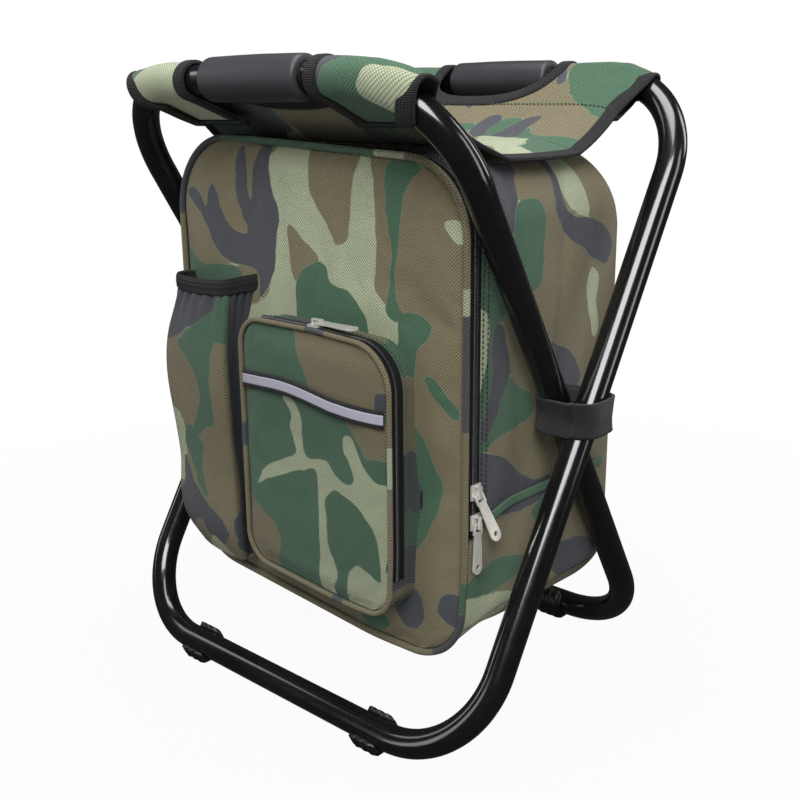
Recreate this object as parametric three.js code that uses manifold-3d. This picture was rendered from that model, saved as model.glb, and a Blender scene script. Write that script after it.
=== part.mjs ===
// Folding cooler stool: a scissor frame of two bent tube loops that carries an insulated bag and a cloth seat.
// Millimetres. X runs along the bars, -Y is the front, +Z is up. The origin is on the floor under the pivot.

import * as THREE from 'three';
import { mergeVertices } from 'three/addons/utils/BufferGeometryUtils.js';
import Module from 'manifold-3d';

const wasm = await Module();
wasm.setup();

// Clearances
const SEAM_GAP = 0.3;
const RUNNING_GAP = 0.3;
const SIDE_CLEARANCE = 3.5;

// Facets
const ARC_STEPS = 3;
const FINE_ARC_STEPS = 5;
const STRIP_STEPS = 8;
const TURNED_SIDES = 12;
const WIDE_TURNED_SIDES = 16;
const BEND_STEPS = 7;
const TUBE_HALF_SIDES = 6;
const PIPING_BEND_STEPS = 5;
const PIPING_HALF_SIDES = 3;
const FOOT_ARC_STEPS = 6;
const SEAT_MIDDLE_STEPS = 16;
const SEAT_SLOPE_STEPS = 20;
const SEAT_SLOPE_ROWS = 3;

// Scissor frame
const TUBE_DIAMETER = 19;
const TUBE_WALL = 1;
const LEAN_DEG = 30.5;
const LEG_ABOVE_PIVOT = 244;
const LEG_BELOW_PIVOT = 238;
const TOP_BEND_RADIUS = 72;
const FOOT_BEND_RADIUS = 66;
const JOINT_GAP = 0.6;
const PLUG_LENGTH = 50;
const PLUG_WALL = 1;

// Pivot
const RIVET_DIAMETER = 6;
const RIVET_HEAD_DIAMETER = 12;
const RIVET_HEAD = 1.5;
const WASHER = 1.4;
const WASHER_DIAMETER = 16;

// Feet
const FOOT_PAD = 2.5;
const FOOT_WALL = 2.8;
const FOOT_LENGTH = 24;
const FOOT_PAD_WIDTH = 16;
const FOOT_BEND_MARGIN = 1;
const FOOT_HIGH_LIP_DEG = 60;
const FOOT_PAD_SIDE_DEG = -25;
const FOOT_FAR_SIDE_DEG = -155;
const FOOT_LOW_LIP_DEG = -170;

// Grips and seat
const GRIP_LENGTH = 90;
const GRIP_DIAMETER = 28;
const GRIP_EDGE = 2;
const GRIP_OFF_MIDDLE = 6;
const HANDLE_MARGIN = 7;
const SEAT_CLOTH = 1.6;
const SEAT_SIDE_MARGIN = 17;
const SEAT_FLAT_DEPTH = 76;
const SEAT_EDGE_DROP = 8;
const SEAT_SAG = 4;
const SEAT_SEAM = 0.8;
const SCALLOP_MARGIN = 4;
const SCALLOP_DEPTH = 17;

// Bag
const BAG_WIDTH = 272;
const BAG_HEIGHT = 330;
const BAG_DEPTH = 172;
const BAG_SET_BACK = 4;
const BAG_GROUND_CLEARANCE = 56;
const BAG_TOP_RADIUS = 46;
const BAG_FOOT_RADIUS = 42;
const FABRIC = 1.5;
const FOAM = 6;
const LINER = 0.8;

// Front panel and main zip
const PANEL_PIPING_DIAMETER = 4.5;
const PIPING_INSET = 0.2;
const ZIP_TAPE_WIDTH = 5;
const ZIP_TAPE = 1;
const ZIP_SPLIT = 0.4;
const COIL_WIDTH = 2.2;
const COIL_HEIGHT = 1.4;
const ZIP_END_HEIGHT = 146;

// Zip sliders and pulls
const SLIDER_LENGTH = 10;
const SLIDER_WIDTH = 9;
const SLIDER_PLATE = 1.4;
const ARCH_LENGTH = 8.4;
const ARCH_WIDTH = 2.6;
const ARCH_BAR = 1.1;
const ARCH_ROOM = 2.4;
const PULL_LENGTH = 34;
const PULL_THICKNESS = 1.4;
const PULL_HEAD_WIDTH = 8;
const PULL_NECK_WIDTH = 6.2;
const PULL_TIP_WIDTH = 8.4;
const PULL_WINDOW_WIDTH = 5;
const PULL_WINDOW_LENGTH = 4.3;
const PULL_BAR_PLAY = 0.5;
const PULL_HOLE_DIAMETER = 3.8;
const PULL_HOLE_FROM_TIP = 5;
const LOWER_SLIDER_ABOVE_END = 12;
const SLIDER_SPACING = 20;
const UPPER_PULL_TILT_DEG = 14.5;
const UPPER_PULL_LEAN_DEG = 18;

// Zipped front pocket
const POCKET_LEFT = -38;
const POCKET_WIDTH = 139;
const POCKET_BOTTOM = 92;
const POCKET_HEIGHT = 181;
const POCKET_DEPTH = 30.8;
const POCKET_CORNER_RADIUS = 20;
const POCKET_ZIP_CORNER_RADIUS = 28;
const POCKET_PIPING_DIAMETER = 4;
const POCKET_ZIP_WIDTH = 6;
const POCKET_ZIP_END_HEIGHT = 28;
const POCKET_SLIDER_FROM_LEFT = 72;
const STRIP_HEIGHT = 10;
const STRIP_THICKNESS = 0.8;
const STRIP_BELOW_TOP = 42;
const STRIP_DROP = 7;
const STRIP_MARGIN = 3;

// Bottle pocket
const BOTTLE_RIGHT_TO_POCKET = 9;
const BOTTLE_LEFT_MARGIN = 3;
const BOTTLE_TAPER = 9;
const BOTTLE_DEPTH = 28.7;
const BOTTLE_BOTTOM = 85;
const BOTTLE_HEIGHT = 196;
const BOTTLE_CORNER = 12;
const ELASTIC_HEIGHT = 9;

// Frame straps and side slip pockets
const STRAP_WIDTH = 25;
const STRAP_THICKNESS = 2;
const STRAP_SLACK = 4;
const STRAP_SPREAD = 14;
const STRAP_CORNER = 15;
const SLIP_POCKET_CLOTH = 1.2;
const SLIP_POCKET_BOTTOM = 98;
const SLIP_POCKET_HEIGHT = 62;
const SLIP_POCKET_DEPTH = 132;
const SLIP_POCKET_RADIUS = 18;

// Sizes that follow from the ones above
const LEAN = THREE.MathUtils.degToRad(LEAN_DEG);
const TUBE_RADIUS = TUBE_DIAMETER / 2;
const BAG_HALF_WIDTH = BAG_WIDTH / 2;
const INNER_HALF_WIDTH = BAG_HALF_WIDTH + SIDE_CLEARANCE + TUBE_RADIUS;
const OUTER_HALF_WIDTH = INNER_HALF_WIDTH + TUBE_DIAMETER + WASHER + 2 * RUNNING_GAP;
const PIVOT_HEIGHT = LEG_BELOW_PIVOT * Math.cos(LEAN) + TUBE_RADIUS + FOOT_PAD;
const BAG_FRONT = BAG_SET_BACK - BAG_DEPTH / 2;
const BAG_REAR = BAG_SET_BACK + BAG_DEPTH / 2;
const BAG_BOTTOM = BAG_GROUND_CLEARANCE;
const BAG_TOP = BAG_BOTTOM + BAG_HEIGHT;
const SLEEVE_BORE_RADIUS = TUBE_RADIUS + SEAM_GAP;
const SLEEVE_RADIUS = SLEEVE_BORE_RADIUS + SEAT_CLOTH;
const SLEEVE_START = GRIP_LENGTH / 2 + HANDLE_MARGIN;
const SEAT_HALF_WIDTH = INNER_HALF_WIDTH - SEAT_SIDE_MARGIN;

// Layers from the front face backwards
const PANEL_COVER_REAR = BAG_FRONT + FABRIC;
const PANEL_FOAM_FRONT = PANEL_COVER_REAR + SEAM_GAP;
const PANEL_FOAM_REAR = PANEL_FOAM_FRONT + FOAM;
const PANEL_LINER_FRONT = PANEL_FOAM_REAR + SEAM_GAP;
const PANEL_LINER_REAR = PANEL_LINER_FRONT + LINER;
const BODY_FRONT = PANEL_LINER_REAR + SEAM_GAP;
const PIPING_Y = BAG_FRONT + FABRIC / 2;
const PANEL_TAPE_FRONT = PIPING_Y + PANEL_PIPING_DIAMETER / 2 + SEAM_GAP;
const PANEL_TAPE_REAR = PANEL_TAPE_FRONT + ZIP_TAPE_WIDTH;
const ZIP_MIDDLE = PANEL_TAPE_REAR + ZIP_SPLIT / 2;
const BODY_TAPE_FRONT = PANEL_TAPE_REAR + ZIP_SPLIT;
const BODY_TAPE_REAR = BODY_TAPE_FRONT + ZIP_TAPE_WIDTH;
const GUSSET_FRONT = BODY_TAPE_REAR + SEAM_GAP;

// Layers from the back face forwards
const BACK_COVER_FRONT = BAG_REAR - FABRIC;
const BACK_FOAM_REAR = BACK_COVER_FRONT - SEAM_GAP;
const BACK_FOAM_FRONT = BACK_FOAM_REAR - FOAM;
const WALL_FOAM_REAR = BACK_FOAM_FRONT - SEAM_GAP;
const BACK_LINER_REAR = WALL_FOAM_REAR - SEAM_GAP;
const BACK_LINER_FRONT = BACK_LINER_REAR - LINER;
const WALL_LINER_REAR = BACK_LINER_FRONT - SEAM_GAP;

// Insets from the bag's outline inwards
const FOAM_INSET = FABRIC + SEAM_GAP;
const LINER_INSET = FOAM_INSET + FOAM + SEAM_GAP;
const PANEL_COVER_INSET = PIPING_INSET + PANEL_PIPING_DIAMETER / 2 + SEAM_GAP;

// Front pocket layers
const POCKET_REAR = BAG_FRONT - SEAM_GAP;
const POCKET_FRONT = BAG_FRONT - POCKET_DEPTH;
const POCKET_COVER_REAR = POCKET_FRONT + FABRIC;
const POCKET_PIPING_Y = POCKET_FRONT + FABRIC / 2;
const POCKET_EDGE = POCKET_PIPING_Y + POCKET_PIPING_DIAMETER / 2 + SEAM_GAP;
const POCKET_ZIP_REAR = POCKET_EDGE + POCKET_ZIP_WIDTH;
const POCKET_ZIP_MIDDLE = (POCKET_EDGE + POCKET_ZIP_REAR) / 2;
const POCKET_COVER_INSET = PIPING_INSET + POCKET_PIPING_DIAMETER / 2 + SEAM_GAP;
const POCKET_RIGHT = POCKET_LEFT + POCKET_WIDTH;
const POCKET_TOP = POCKET_BOTTOM + POCKET_HEIGHT;

const FINISHES = {
  blackTube: { color: 0x0b0b0c, roughness: 0.22, metalness: 0.4 },
  zinc: { color: 0x9a9a98, roughness: 0.4, metalness: 1 },
  blackPlastic: { color: 0x111112, roughness: 0.5, metalness: 0 },
  greyGrip: { color: 0x35353a, roughness: 0.75, metalness: 0 },
  camoCloth: { color: 0x5b5f45, roughness: 0.9, metalness: 0 },
  camoPiping: { color: 0x5c5636, roughness: 0.85, metalness: 0 },
  blackWebbing: { color: 0x121213, roughness: 0.9, metalness: 0 },
  foam: { color: 0xdadad5, roughness: 1, metalness: 0 },
  foil: { color: 0xc8cacc, roughness: 0.35, metalness: 0.6 },
  nickel: { color: 0xc9c6bf, roughness: 0.25, metalness: 1 },
  reflective: { color: 0xaab0b6, roughness: 0.35, metalness: 0.2 },
};

// Turn a closed mesh into a solid for joining and cutting.
function toSolid(geometry) {
  const bare = geometry.clone();
  bare.deleteAttribute('normal');
  bare.deleteAttribute('uv');
  const merged = mergeVertices(bare, 1e-4);
  return new wasm.Manifold(new wasm.Mesh({
    numProp: 3,
    vertProperties: new Float32Array(merged.attributes.position.array),
    triVerts: new Uint32Array(merged.index.array),
  }));
}

function toGeometry(solid) {
  const mesh = solid.getMesh();
  const geometry = new THREE.BufferGeometry();
  geometry.setAttribute('position', new THREE.BufferAttribute(mesh.vertProperties, 3));
  geometry.setIndex(new THREE.BufferAttribute(mesh.triVerts, 1));
  geometry.computeVertexNormals();
  return geometry;
}

function join(first, ...others) {
  return toGeometry(others.reduce((sum, other) => sum.add(toSolid(other)), toSolid(first)));
}

function cut(first, ...others) {
  return toGeometry(others.reduce((rest, other) => rest.subtract(toSolid(other)), toSolid(first)));
}

function boxBetween(low, high) {
  const size = high.map((value, axis) => value - low[axis]);
  const box = new THREE.BoxGeometry(...size);
  return box.translate(...low.map((value, axis) => value + size[axis] / 2));
}

// Extrude a shape drawn in X and Z from one Y to another.
function extrudeAlongY(shape, front, rear, arcSteps = ARC_STEPS) {
  const options = { depth: rear - front, bevelEnabled: false, curveSegments: arcSteps };
  return new THREE.ExtrudeGeometry(shape, options).rotateX(Math.PI / 2).translate(0, rear, 0);
}

// Extrude a shape drawn in Y and Z from one X to another.
function extrudeAlongX(shape, left, right, arcSteps = ARC_STEPS) {
  const options = { depth: right - left, bevelEnabled: false, curveSegments: arcSteps };
  const turn = new THREE.Matrix4().makeBasis(
    new THREE.Vector3(0, 1, 0), new THREE.Vector3(0, 0, 1), new THREE.Vector3(1, 0, 0));
  return new THREE.ExtrudeGeometry(shape, options).applyMatrix4(turn).translate(left, 0, 0);
}

// Extrude a shape drawn in X and Y from one height to another.
function extrudeAlongZ(shape, bottom, top, arcSteps = ARC_STEPS) {
  const options = { depth: top - bottom, bevelEnabled: false, curveSegments: arcSteps };
  return new THREE.ExtrudeGeometry(shape, options).translate(0, 0, bottom);
}

// Turn a closed profile of [radius, place along X] about the X axis.
function turnAboutX(profile, segments) {
  const points = profile.map(([radius, along]) => new THREE.Vector2(radius, along));
  return new THREE.LatheGeometry(points, segments).rotateZ(-Math.PI / 2);
}

// A ring between two radii along X, such as a washer, a plug or a grip with an eased edge.
function turnedRing(outer, bore, left, right, segments, edge = 0) {
  const profile = [[bore, left], [outer - edge, left]];
  if (edge > 0) profile.push([outer, left + edge], [outer, right - edge]);
  profile.push([outer - edge, right], [bore, right], [bore, left]);
  return turnAboutX(profile, segments);
}

// A rounded rectangle with its own radius at each corner, drawn inwards from its outline by an inset.
function drawRoundedRect(target, edges, radii, inset = 0) {
  const left = edges.left + inset;
  const right = edges.right - inset;
  const bottom = edges.bottom + inset;
  const top = edges.top - inset;
  const [topLeft, topRight, bottomRight, bottomLeft] = radii.map((radius) => radius - inset);
  target.moveTo(left + bottomLeft, bottom);
  target.lineTo(right - bottomRight, bottom);
  target.absarc(right - bottomRight, bottom + bottomRight, bottomRight, -Math.PI / 2, 0);
  target.lineTo(right, top - topRight);
  target.absarc(right - topRight, top - topRight, topRight, 0, Math.PI / 2);
  target.lineTo(left + topLeft, top);
  target.absarc(left + topLeft, top - topLeft, topLeft, Math.PI / 2, Math.PI);
  target.lineTo(left, bottom + bottomLeft);
  target.absarc(left + bottomLeft, bottom + bottomLeft, bottomLeft, Math.PI, 1.5 * Math.PI);
  return target;
}

const BAG_EDGES = { left: -BAG_HALF_WIDTH, right: BAG_HALF_WIDTH, bottom: BAG_BOTTOM, top: BAG_TOP };
const BAG_RADII = [BAG_TOP_RADIUS, BAG_TOP_RADIUS, BAG_FOOT_RADIUS, BAG_FOOT_RADIUS];
const POCKET_EDGES = { left: POCKET_LEFT, right: POCKET_RIGHT, bottom: POCKET_BOTTOM, top: POCKET_TOP };
const POCKET_RADII = [
  POCKET_CORNER_RADIUS, POCKET_ZIP_CORNER_RADIUS, POCKET_CORNER_RADIUS, POCKET_CORNER_RADIUS];

function platePiece(edges, radii, inset, front, rear) {
  return extrudeAlongY(drawRoundedRect(new THREE.Shape(), edges, radii, inset), front, rear);
}

function ringPiece(edges, radii, outerInset, innerInset, front, rear) {
  const ring = drawRoundedRect(new THREE.Shape(), edges, radii, outerInset);
  ring.holes.push(drawRoundedRect(new THREE.Path(), edges, radii, innerInset));
  return extrudeAlongY(ring, front, rear);
}

// A path of straight runs and round bends in one plane, with stations only where they are needed.
class BentPath extends THREE.Curve {
  constructor(stations, planeNormal) {
    super();
    this.stations = stations;
    this.planeNormal = planeNormal;
  }

  getSpacedPoints() {
    return this.stations.map(({ point }) => point.clone());
  }

  computeFrenetFrames() {
    const tangents = this.stations.map(({ tangent }) => tangent.clone());
    const normals = tangents.map(() => this.planeNormal.clone());
    const binormals = tangents.map((tangent, i) => new THREE.Vector3().crossVectors(tangent, normals[i]));
    return { tangents, normals, binormals };
  }
}

// Stations round a bend in the X and Z plane, from one angle to another about the bend's centre.
function bendStations(centreX, centreZ, radius, fromAngle, toAngle, steps) {
  const way = Math.sign(toAngle - fromAngle);
  return Array.from({ length: steps + 1 }, (_, i) => {
    const angle = fromAngle + (toAngle - fromAngle) * i / steps;
    const [cos, sin] = [Math.cos(angle), Math.sin(angle)];
    return {
      point: new THREE.Vector3(centreX + radius * cos, 0, centreZ + radius * sin),
      tangent: new THREE.Vector3(-sin * way, 0, cos * way),
    };
  });
}

function stationBetween(first, second, share) {
  return {
    point: first.point.clone().lerp(second.point, share),
    tangent: first.tangent.clone().lerp(second.tangent, share).normalize(),
  };
}

function alongX(x, z, way) {
  return { point: new THREE.Vector3(x, 0, z), tangent: new THREE.Vector3(way, 0, 0) };
}

function tubeAlong(stations, radius, boreRadius, halfSides) {
  const section = new THREE.Shape().absarc(0, 0, radius, 0, 2 * Math.PI);
  if (boreRadius > 0) section.holes.push(new THREE.Path().absarc(0, 0, boreRadius, 0, 2 * Math.PI, true));
  return new THREE.ExtrudeGeometry(section, {
    extrudePath: new BentPath(stations, new THREE.Vector3(0, 1, 0)),
    steps: stations.length - 1,
    curveSegments: halfSides,
  });
}

// Frame: one loop of tube, closed under its grip, in the plane of the loop with the pivot at the origin.
function frameLoop(halfWidth) {
  const half = Math.PI / 2;
  const topX = halfWidth - TOP_BEND_RADIUS;
  const topZ = LEG_ABOVE_PIVOT - TOP_BEND_RADIUS;
  const footX = halfWidth - FOOT_BEND_RADIUS;
  const footZ = FOOT_BEND_RADIUS - LEG_BELOW_PIVOT;
  const stations = [
    alongX(JOINT_GAP / 2, LEG_ABOVE_PIVOT, 1),
    ...bendStations(topX, topZ, TOP_BEND_RADIUS, half, 0, BEND_STEPS),
    ...bendStations(footX, footZ, FOOT_BEND_RADIUS, 0, -half, BEND_STEPS),
    ...bendStations(-footX, footZ, FOOT_BEND_RADIUS, -half, -2 * half, BEND_STEPS),
    ...bendStations(-topX, topZ, TOP_BEND_RADIUS, -2 * half, -3 * half, BEND_STEPS),
    alongX(-JOINT_GAP / 2, LEG_ABOVE_PIVOT, 1),
  ];
  const tube = tubeAlong(stations, TUBE_RADIUS, TUBE_RADIUS - TUBE_WALL, TUBE_HALF_SIDES);
  const reach = halfWidth + TUBE_DIAMETER;
  const bore = RIVET_DIAMETER / 2 + RUNNING_GAP;
  const hole = turnAboutX([[0, -reach], [bore, -reach], [bore, reach], [0, reach]], TURNED_SIDES);
  return cut(tube, hole);
}

// A cloth sleeve on the top bar, from beside the handle to part of the way round the bend.
function sleeve(halfWidth, side) {
  const barEnd = halfWidth - TOP_BEND_RADIUS;
  const wrap = Math.asin((SEAT_HALF_WIDTH - barEnd) / TOP_BEND_RADIUS);
  const bendZ = LEG_ABOVE_PIVOT - TOP_BEND_RADIUS;
  const bend = bendStations(barEnd, bendZ, TOP_BEND_RADIUS, Math.PI / 2, 0, BEND_STEPS);
  const wrapSteps = wrap / (Math.PI / 2) * BEND_STEPS;
  const whole = Math.floor(wrapSteps);
  const last = stationBetween(bend[whole], bend[whole + 1], wrapSteps - whole);
  const stations = [alongX(SLEEVE_START, LEG_ABOVE_PIVOT, 1), ...bend.slice(0, whole + 1), last];
  const geometry = tubeAlong(stations, SLEEVE_RADIUS, SLEEVE_BORE_RADIUS, TUBE_HALF_SIDES);
  return side > 0 ? geometry : geometry.rotateZ(Math.PI);
}

function grip() {
  const bore = TUBE_RADIUS + SEAM_GAP;
  const half = GRIP_LENGTH / 2;
  const ring = turnedRing(GRIP_DIAMETER / 2, bore, -half, half, WIDE_TURNED_SIDES, GRIP_EDGE);
  return ring.translate(GRIP_OFF_MIDDLE, 0, LEG_ABOVE_PIVOT);
}

function jointPlug() {
  const outer = TUBE_RADIUS - TUBE_WALL - SEAM_GAP;
  const ring = turnedRing(outer, outer - PLUG_WALL, -PLUG_LENGTH / 2, PLUG_LENGTH / 2, TURNED_SIDES);
  return ring.translate(0, 0, LEG_ABOVE_PIVOT);
}

// A rivet through both legs of one side, with a formed head at each end.
function pivotRivet(side) {
  const shank = RIVET_DIAMETER / 2;
  const head = RIVET_HEAD_DIAMETER / 2;
  const inner = INNER_HALF_WIDTH - TUBE_RADIUS - RUNNING_GAP;
  const outer = OUTER_HALF_WIDTH + TUBE_RADIUS + RUNNING_GAP;
  const profile = [
    [0, inner - RIVET_HEAD], [head, inner - RIVET_HEAD], [head, inner],
    [shank, inner], [shank, outer], [head, outer], [head, outer + RIVET_HEAD], [0, outer + RIVET_HEAD],
  ];
  const rivet = turnAboutX(profile, TURNED_SIDES).translate(0, 0, PIVOT_HEIGHT);
  return side > 0 ? rivet : rivet.rotateZ(Math.PI);
}

function pivotWasher(side) {
  const inner = INNER_HALF_WIDTH + TUBE_RADIUS + RUNNING_GAP;
  const bore = RIVET_DIAMETER / 2 + RUNNING_GAP;
  const washer = turnedRing(WASHER_DIAMETER / 2, bore, inner, inner + WASHER, WIDE_TURNED_SIDES);
  washer.translate(0, 0, PIVOT_HEIGHT);
  return side > 0 ? washer : washer.rotateZ(Math.PI);
}

// A foot clips round the bar from below: its inner lip stands higher than its outer one.
function footSection() {
  const degrees = THREE.MathUtils.degToRad;
  const bore = TUBE_RADIUS + SEAM_GAP;
  const outer = bore + FOOT_WALL;
  const floor = -(TUBE_RADIUS + FOOT_PAD);
  const highLip = degrees(FOOT_HIGH_LIP_DEG);
  const padSide = degrees(FOOT_PAD_SIDE_DEG);
  const farSide = degrees(FOOT_FAR_SIDE_DEG);
  const lowLip = degrees(FOOT_LOW_LIP_DEG);
  const section = new THREE.Shape();
  section.moveTo(bore * Math.cos(highLip), bore * Math.sin(highLip));
  section.absarc(0, 0, bore, highLip, lowLip, true);
  section.lineTo(outer * Math.cos(lowLip), outer * Math.sin(lowLip));
  section.lineTo(outer * Math.cos(farSide), outer * Math.sin(farSide));
  section.lineTo(-FOOT_PAD_WIDTH / 2, floor);
  section.lineTo(FOOT_PAD_WIDTH / 2, floor);
  section.absarc(0, 0, outer, padSide, highLip, false);
  return section;
}

function foot(halfWidth, side, front) {
  const geometry = extrudeAlongX(footSection(), -FOOT_LENGTH / 2, FOOT_LENGTH / 2, FOOT_ARC_STEPS);
  const x = side * (halfWidth - FOOT_BEND_RADIUS - FOOT_LENGTH / 2 - FOOT_BEND_MARGIN);
  const y = LEG_BELOW_PIVOT * Math.sin(LEAN);
  if (!front) geometry.rotateZ(Math.PI);
  return geometry.translate(x, front ? -y : y, TUBE_RADIUS + FOOT_PAD);
}

// Bag: layered walls round the cold space, each with the same rounded outline.
function gussetCover() {
  const ring = ringPiece(BAG_EDGES, BAG_RADII, 0, FABRIC, PANEL_TAPE_FRONT, BACK_COVER_FRONT - SEAM_GAP);
  const low = [-BAG_WIDTH, PANEL_TAPE_FRONT - FABRIC, ZIP_END_HEIGHT - SEAM_GAP];
  const high = [BAG_WIDTH, GUSSET_FRONT, BAG_TOP + FABRIC];
  return cut(ring, boxBetween(low, high));
}

// An upturned U along the bag's outline, from the zip's ends over the top, of a given wall thickness.
function zipArch(outerInset, thickness, front, rear) {
  const half = BAG_HALF_WIDTH - outerInset;
  const top = BAG_TOP - outerInset;
  const cornerX = BAG_HALF_WIDTH - BAG_TOP_RADIUS;
  const cornerZ = BAG_TOP - BAG_TOP_RADIUS;
  const outer = BAG_TOP_RADIUS - outerInset;
  const inner = outer - thickness;
  const arch = new THREE.Shape();
  arch.moveTo(half, ZIP_END_HEIGHT);
  arch.lineTo(half, cornerZ);
  arch.absarc(cornerX, cornerZ, outer, 0, Math.PI / 2);
  arch.lineTo(-cornerX, top);
  arch.absarc(-cornerX, cornerZ, outer, Math.PI / 2, Math.PI);
  arch.lineTo(-half, ZIP_END_HEIGHT);
  arch.lineTo(thickness - half, ZIP_END_HEIGHT);
  arch.lineTo(thickness - half, cornerZ);
  arch.absarc(-cornerX, cornerZ, inner, Math.PI, Math.PI / 2, true);
  arch.lineTo(cornerX, top - thickness);
  arch.absarc(cornerX, cornerZ, inner, Math.PI / 2, 0, true);
  arch.lineTo(half - thickness, ZIP_END_HEIGHT);
  return extrudeAlongY(arch, front, rear);
}

function zipTape(front, rear, coilFront) {
  const tape = zipArch(0, ZIP_TAPE, front, rear);
  const coil = zipArch(-COIL_HEIGHT, COIL_HEIGHT + ZIP_TAPE / 2, coilFront, coilFront + COIL_WIDTH);
  return join(tape, coil);
}

// A cord sewn round a rounded outline, with its butt joint in the middle of the bottom edge.
function pipingLoop(edges, radii, diameter, y) {
  const inset = PIPING_INSET;
  const half = Math.PI / 2;
  const left = edges.left + inset;
  const right = edges.right - inset;
  const bottom = edges.bottom + inset;
  const top = edges.top - inset;
  const [topLeft, topRight, bottomRight, bottomLeft] = radii.map((radius) => radius - inset);
  const middle = (left + right) / 2;
  const steps = PIPING_BEND_STEPS;
  const stations = [
    alongX(middle + JOINT_GAP / 2, bottom, 1),
    ...bendStations(right - bottomRight, bottom + bottomRight, bottomRight, -half, 0, steps),
    ...bendStations(right - topRight, top - topRight, topRight, 0, half, steps),
    ...bendStations(left + topLeft, top - topLeft, topLeft, half, 2 * half, steps),
    ...bendStations(left + bottomLeft, bottom + bottomLeft, bottomLeft, 2 * half, 3 * half, steps),
    alongX(middle - JOINT_GAP / 2, bottom, 1),
  ];
  return tubeAlong(stations, diameter / 2, 0, PIPING_HALF_SIDES).translate(0, y, 0);
}

// The part of the pocket's edge that the zip takes: the top, the rounded corner and most of the right side.
function pocketZipZone(gap) {
  const front = POCKET_FRONT - FABRIC;
  const rear = POCKET_ZIP_REAR + gap;
  const beyond = POCKET_ZIP_CORNER_RADIUS;
  const topLow = [POCKET_LEFT + POCKET_CORNER_RADIUS - gap, front, POCKET_TOP - POCKET_ZIP_CORNER_RADIUS];
  const rightLow = [
    POCKET_RIGHT - POCKET_ZIP_CORNER_RADIUS, front, POCKET_BOTTOM + POCKET_ZIP_END_HEIGHT - gap];
  const high = [POCKET_RIGHT + beyond, rear, POCKET_TOP + beyond];
  return join(boxBetween(topLow, high), boxBetween(rightLow, high));
}

function pocketGusset() {
  const ring = ringPiece(POCKET_EDGES, POCKET_RADII, 0, FABRIC, POCKET_EDGE, POCKET_REAR);
  return cut(ring, pocketZipZone(SEAM_GAP));
}

function pocketZipTape() {
  const tape = toSolid(ringPiece(POCKET_EDGES, POCKET_RADII, 0, ZIP_TAPE, POCKET_EDGE, POCKET_ZIP_REAR));
  const coil = toSolid(ringPiece(POCKET_EDGES, POCKET_RADII, -COIL_HEIGHT, ZIP_TAPE / 2,
    POCKET_ZIP_MIDDLE - COIL_WIDTH, POCKET_ZIP_MIDDLE + COIL_WIDTH));
  return toGeometry(tape.add(coil).intersect(toSolid(pocketZipZone(0))));
}

// A reflective strip across the pocket's cover, which dips as it runs to the right.
function reflectiveStrip() {
  const left = POCKET_LEFT + POCKET_COVER_INSET + STRIP_MARGIN;
  const right = POCKET_RIGHT - POCKET_COVER_INSET - STRIP_MARGIN;
  const third = (right - left) / 3;
  const high = POCKET_TOP - STRIP_BELOW_TOP + STRIP_HEIGHT / 2;
  const low = high - STRIP_HEIGHT;
  const strip = new THREE.Shape();
  strip.moveTo(left, low);
  strip.bezierCurveTo(left + third, low, right - third, low - STRIP_DROP, right, low - STRIP_DROP);
  strip.lineTo(right, high - STRIP_DROP);
  strip.bezierCurveTo(right - third, high - STRIP_DROP, left + third, high, left, high);
  const rear = POCKET_FRONT - SEAM_GAP;
  return extrudeAlongY(strip, rear - STRIP_THICKNESS, rear, STRIP_STEPS);
}

// Bottle pocket plan: open at the panel, narrower at the front, with round front corners.
function bottlePlan(inset, rear) {
  const right = POCKET_LEFT - BOTTLE_RIGHT_TO_POCKET - inset;
  const left = PANEL_COVER_INSET + BOTTLE_LEFT_MARGIN + inset - BAG_HALF_WIDTH;
  const taper = BOTTLE_TAPER;
  const front = BAG_FRONT - SEAM_GAP - BOTTLE_DEPTH + inset;
  const corner = BOTTLE_CORNER - inset;
  const slope = taper / BOTTLE_DEPTH;
  const plan = new THREE.Shape();
  plan.moveTo(left, rear);
  plan.lineTo(left + taper - slope * corner, front + corner);
  plan.quadraticCurveTo(left + taper, front, left + taper + corner, front);
  plan.lineTo(right - taper - corner, front);
  plan.quadraticCurveTo(right - taper, front, right - taper + slope * corner, front + corner);
  plan.lineTo(right, rear);
  return plan;
}

function bottleCup(bottom, top, floor) {
  const rear = BAG_FRONT - SEAM_GAP;
  const outer = extrudeAlongZ(bottlePlan(0, rear), bottom, top, FINE_ARC_STEPS);
  const hollow = bottlePlan(FABRIC, rear + FABRIC);
  const inner = extrudeAlongZ(hollow, bottom + floor, top + FABRIC, FINE_ARC_STEPS);
  return cut(outer, inner);
}

function bottleElastic() {
  const bottom = BOTTLE_BOTTOM + BOTTLE_HEIGHT + SEAM_GAP;
  return bottleCup(bottom, bottom + ELASTIC_HEIGHT, -FABRIC);
}

// A strap from the bag's side round both legs at the pivot: drawn in plan at an offset from its inner face.
function strapPoints(offset) {
  const legReach = STRAP_WIDTH / 2 * Math.tan(LEAN) + TUBE_RADIUS / Math.cos(LEAN);
  const outside = OUTER_HALF_WIDTH + TUBE_RADIUS + 2 * RUNNING_GAP + RIVET_HEAD + offset;
  const half = legReach + STRAP_SLACK + offset;
  const bagSide = BAG_HALF_WIDTH + SEAM_GAP;
  return { outside, half, bagSide, root: half + STRAP_SPREAD, bendX: outside - STRAP_CORNER };
}

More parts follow.
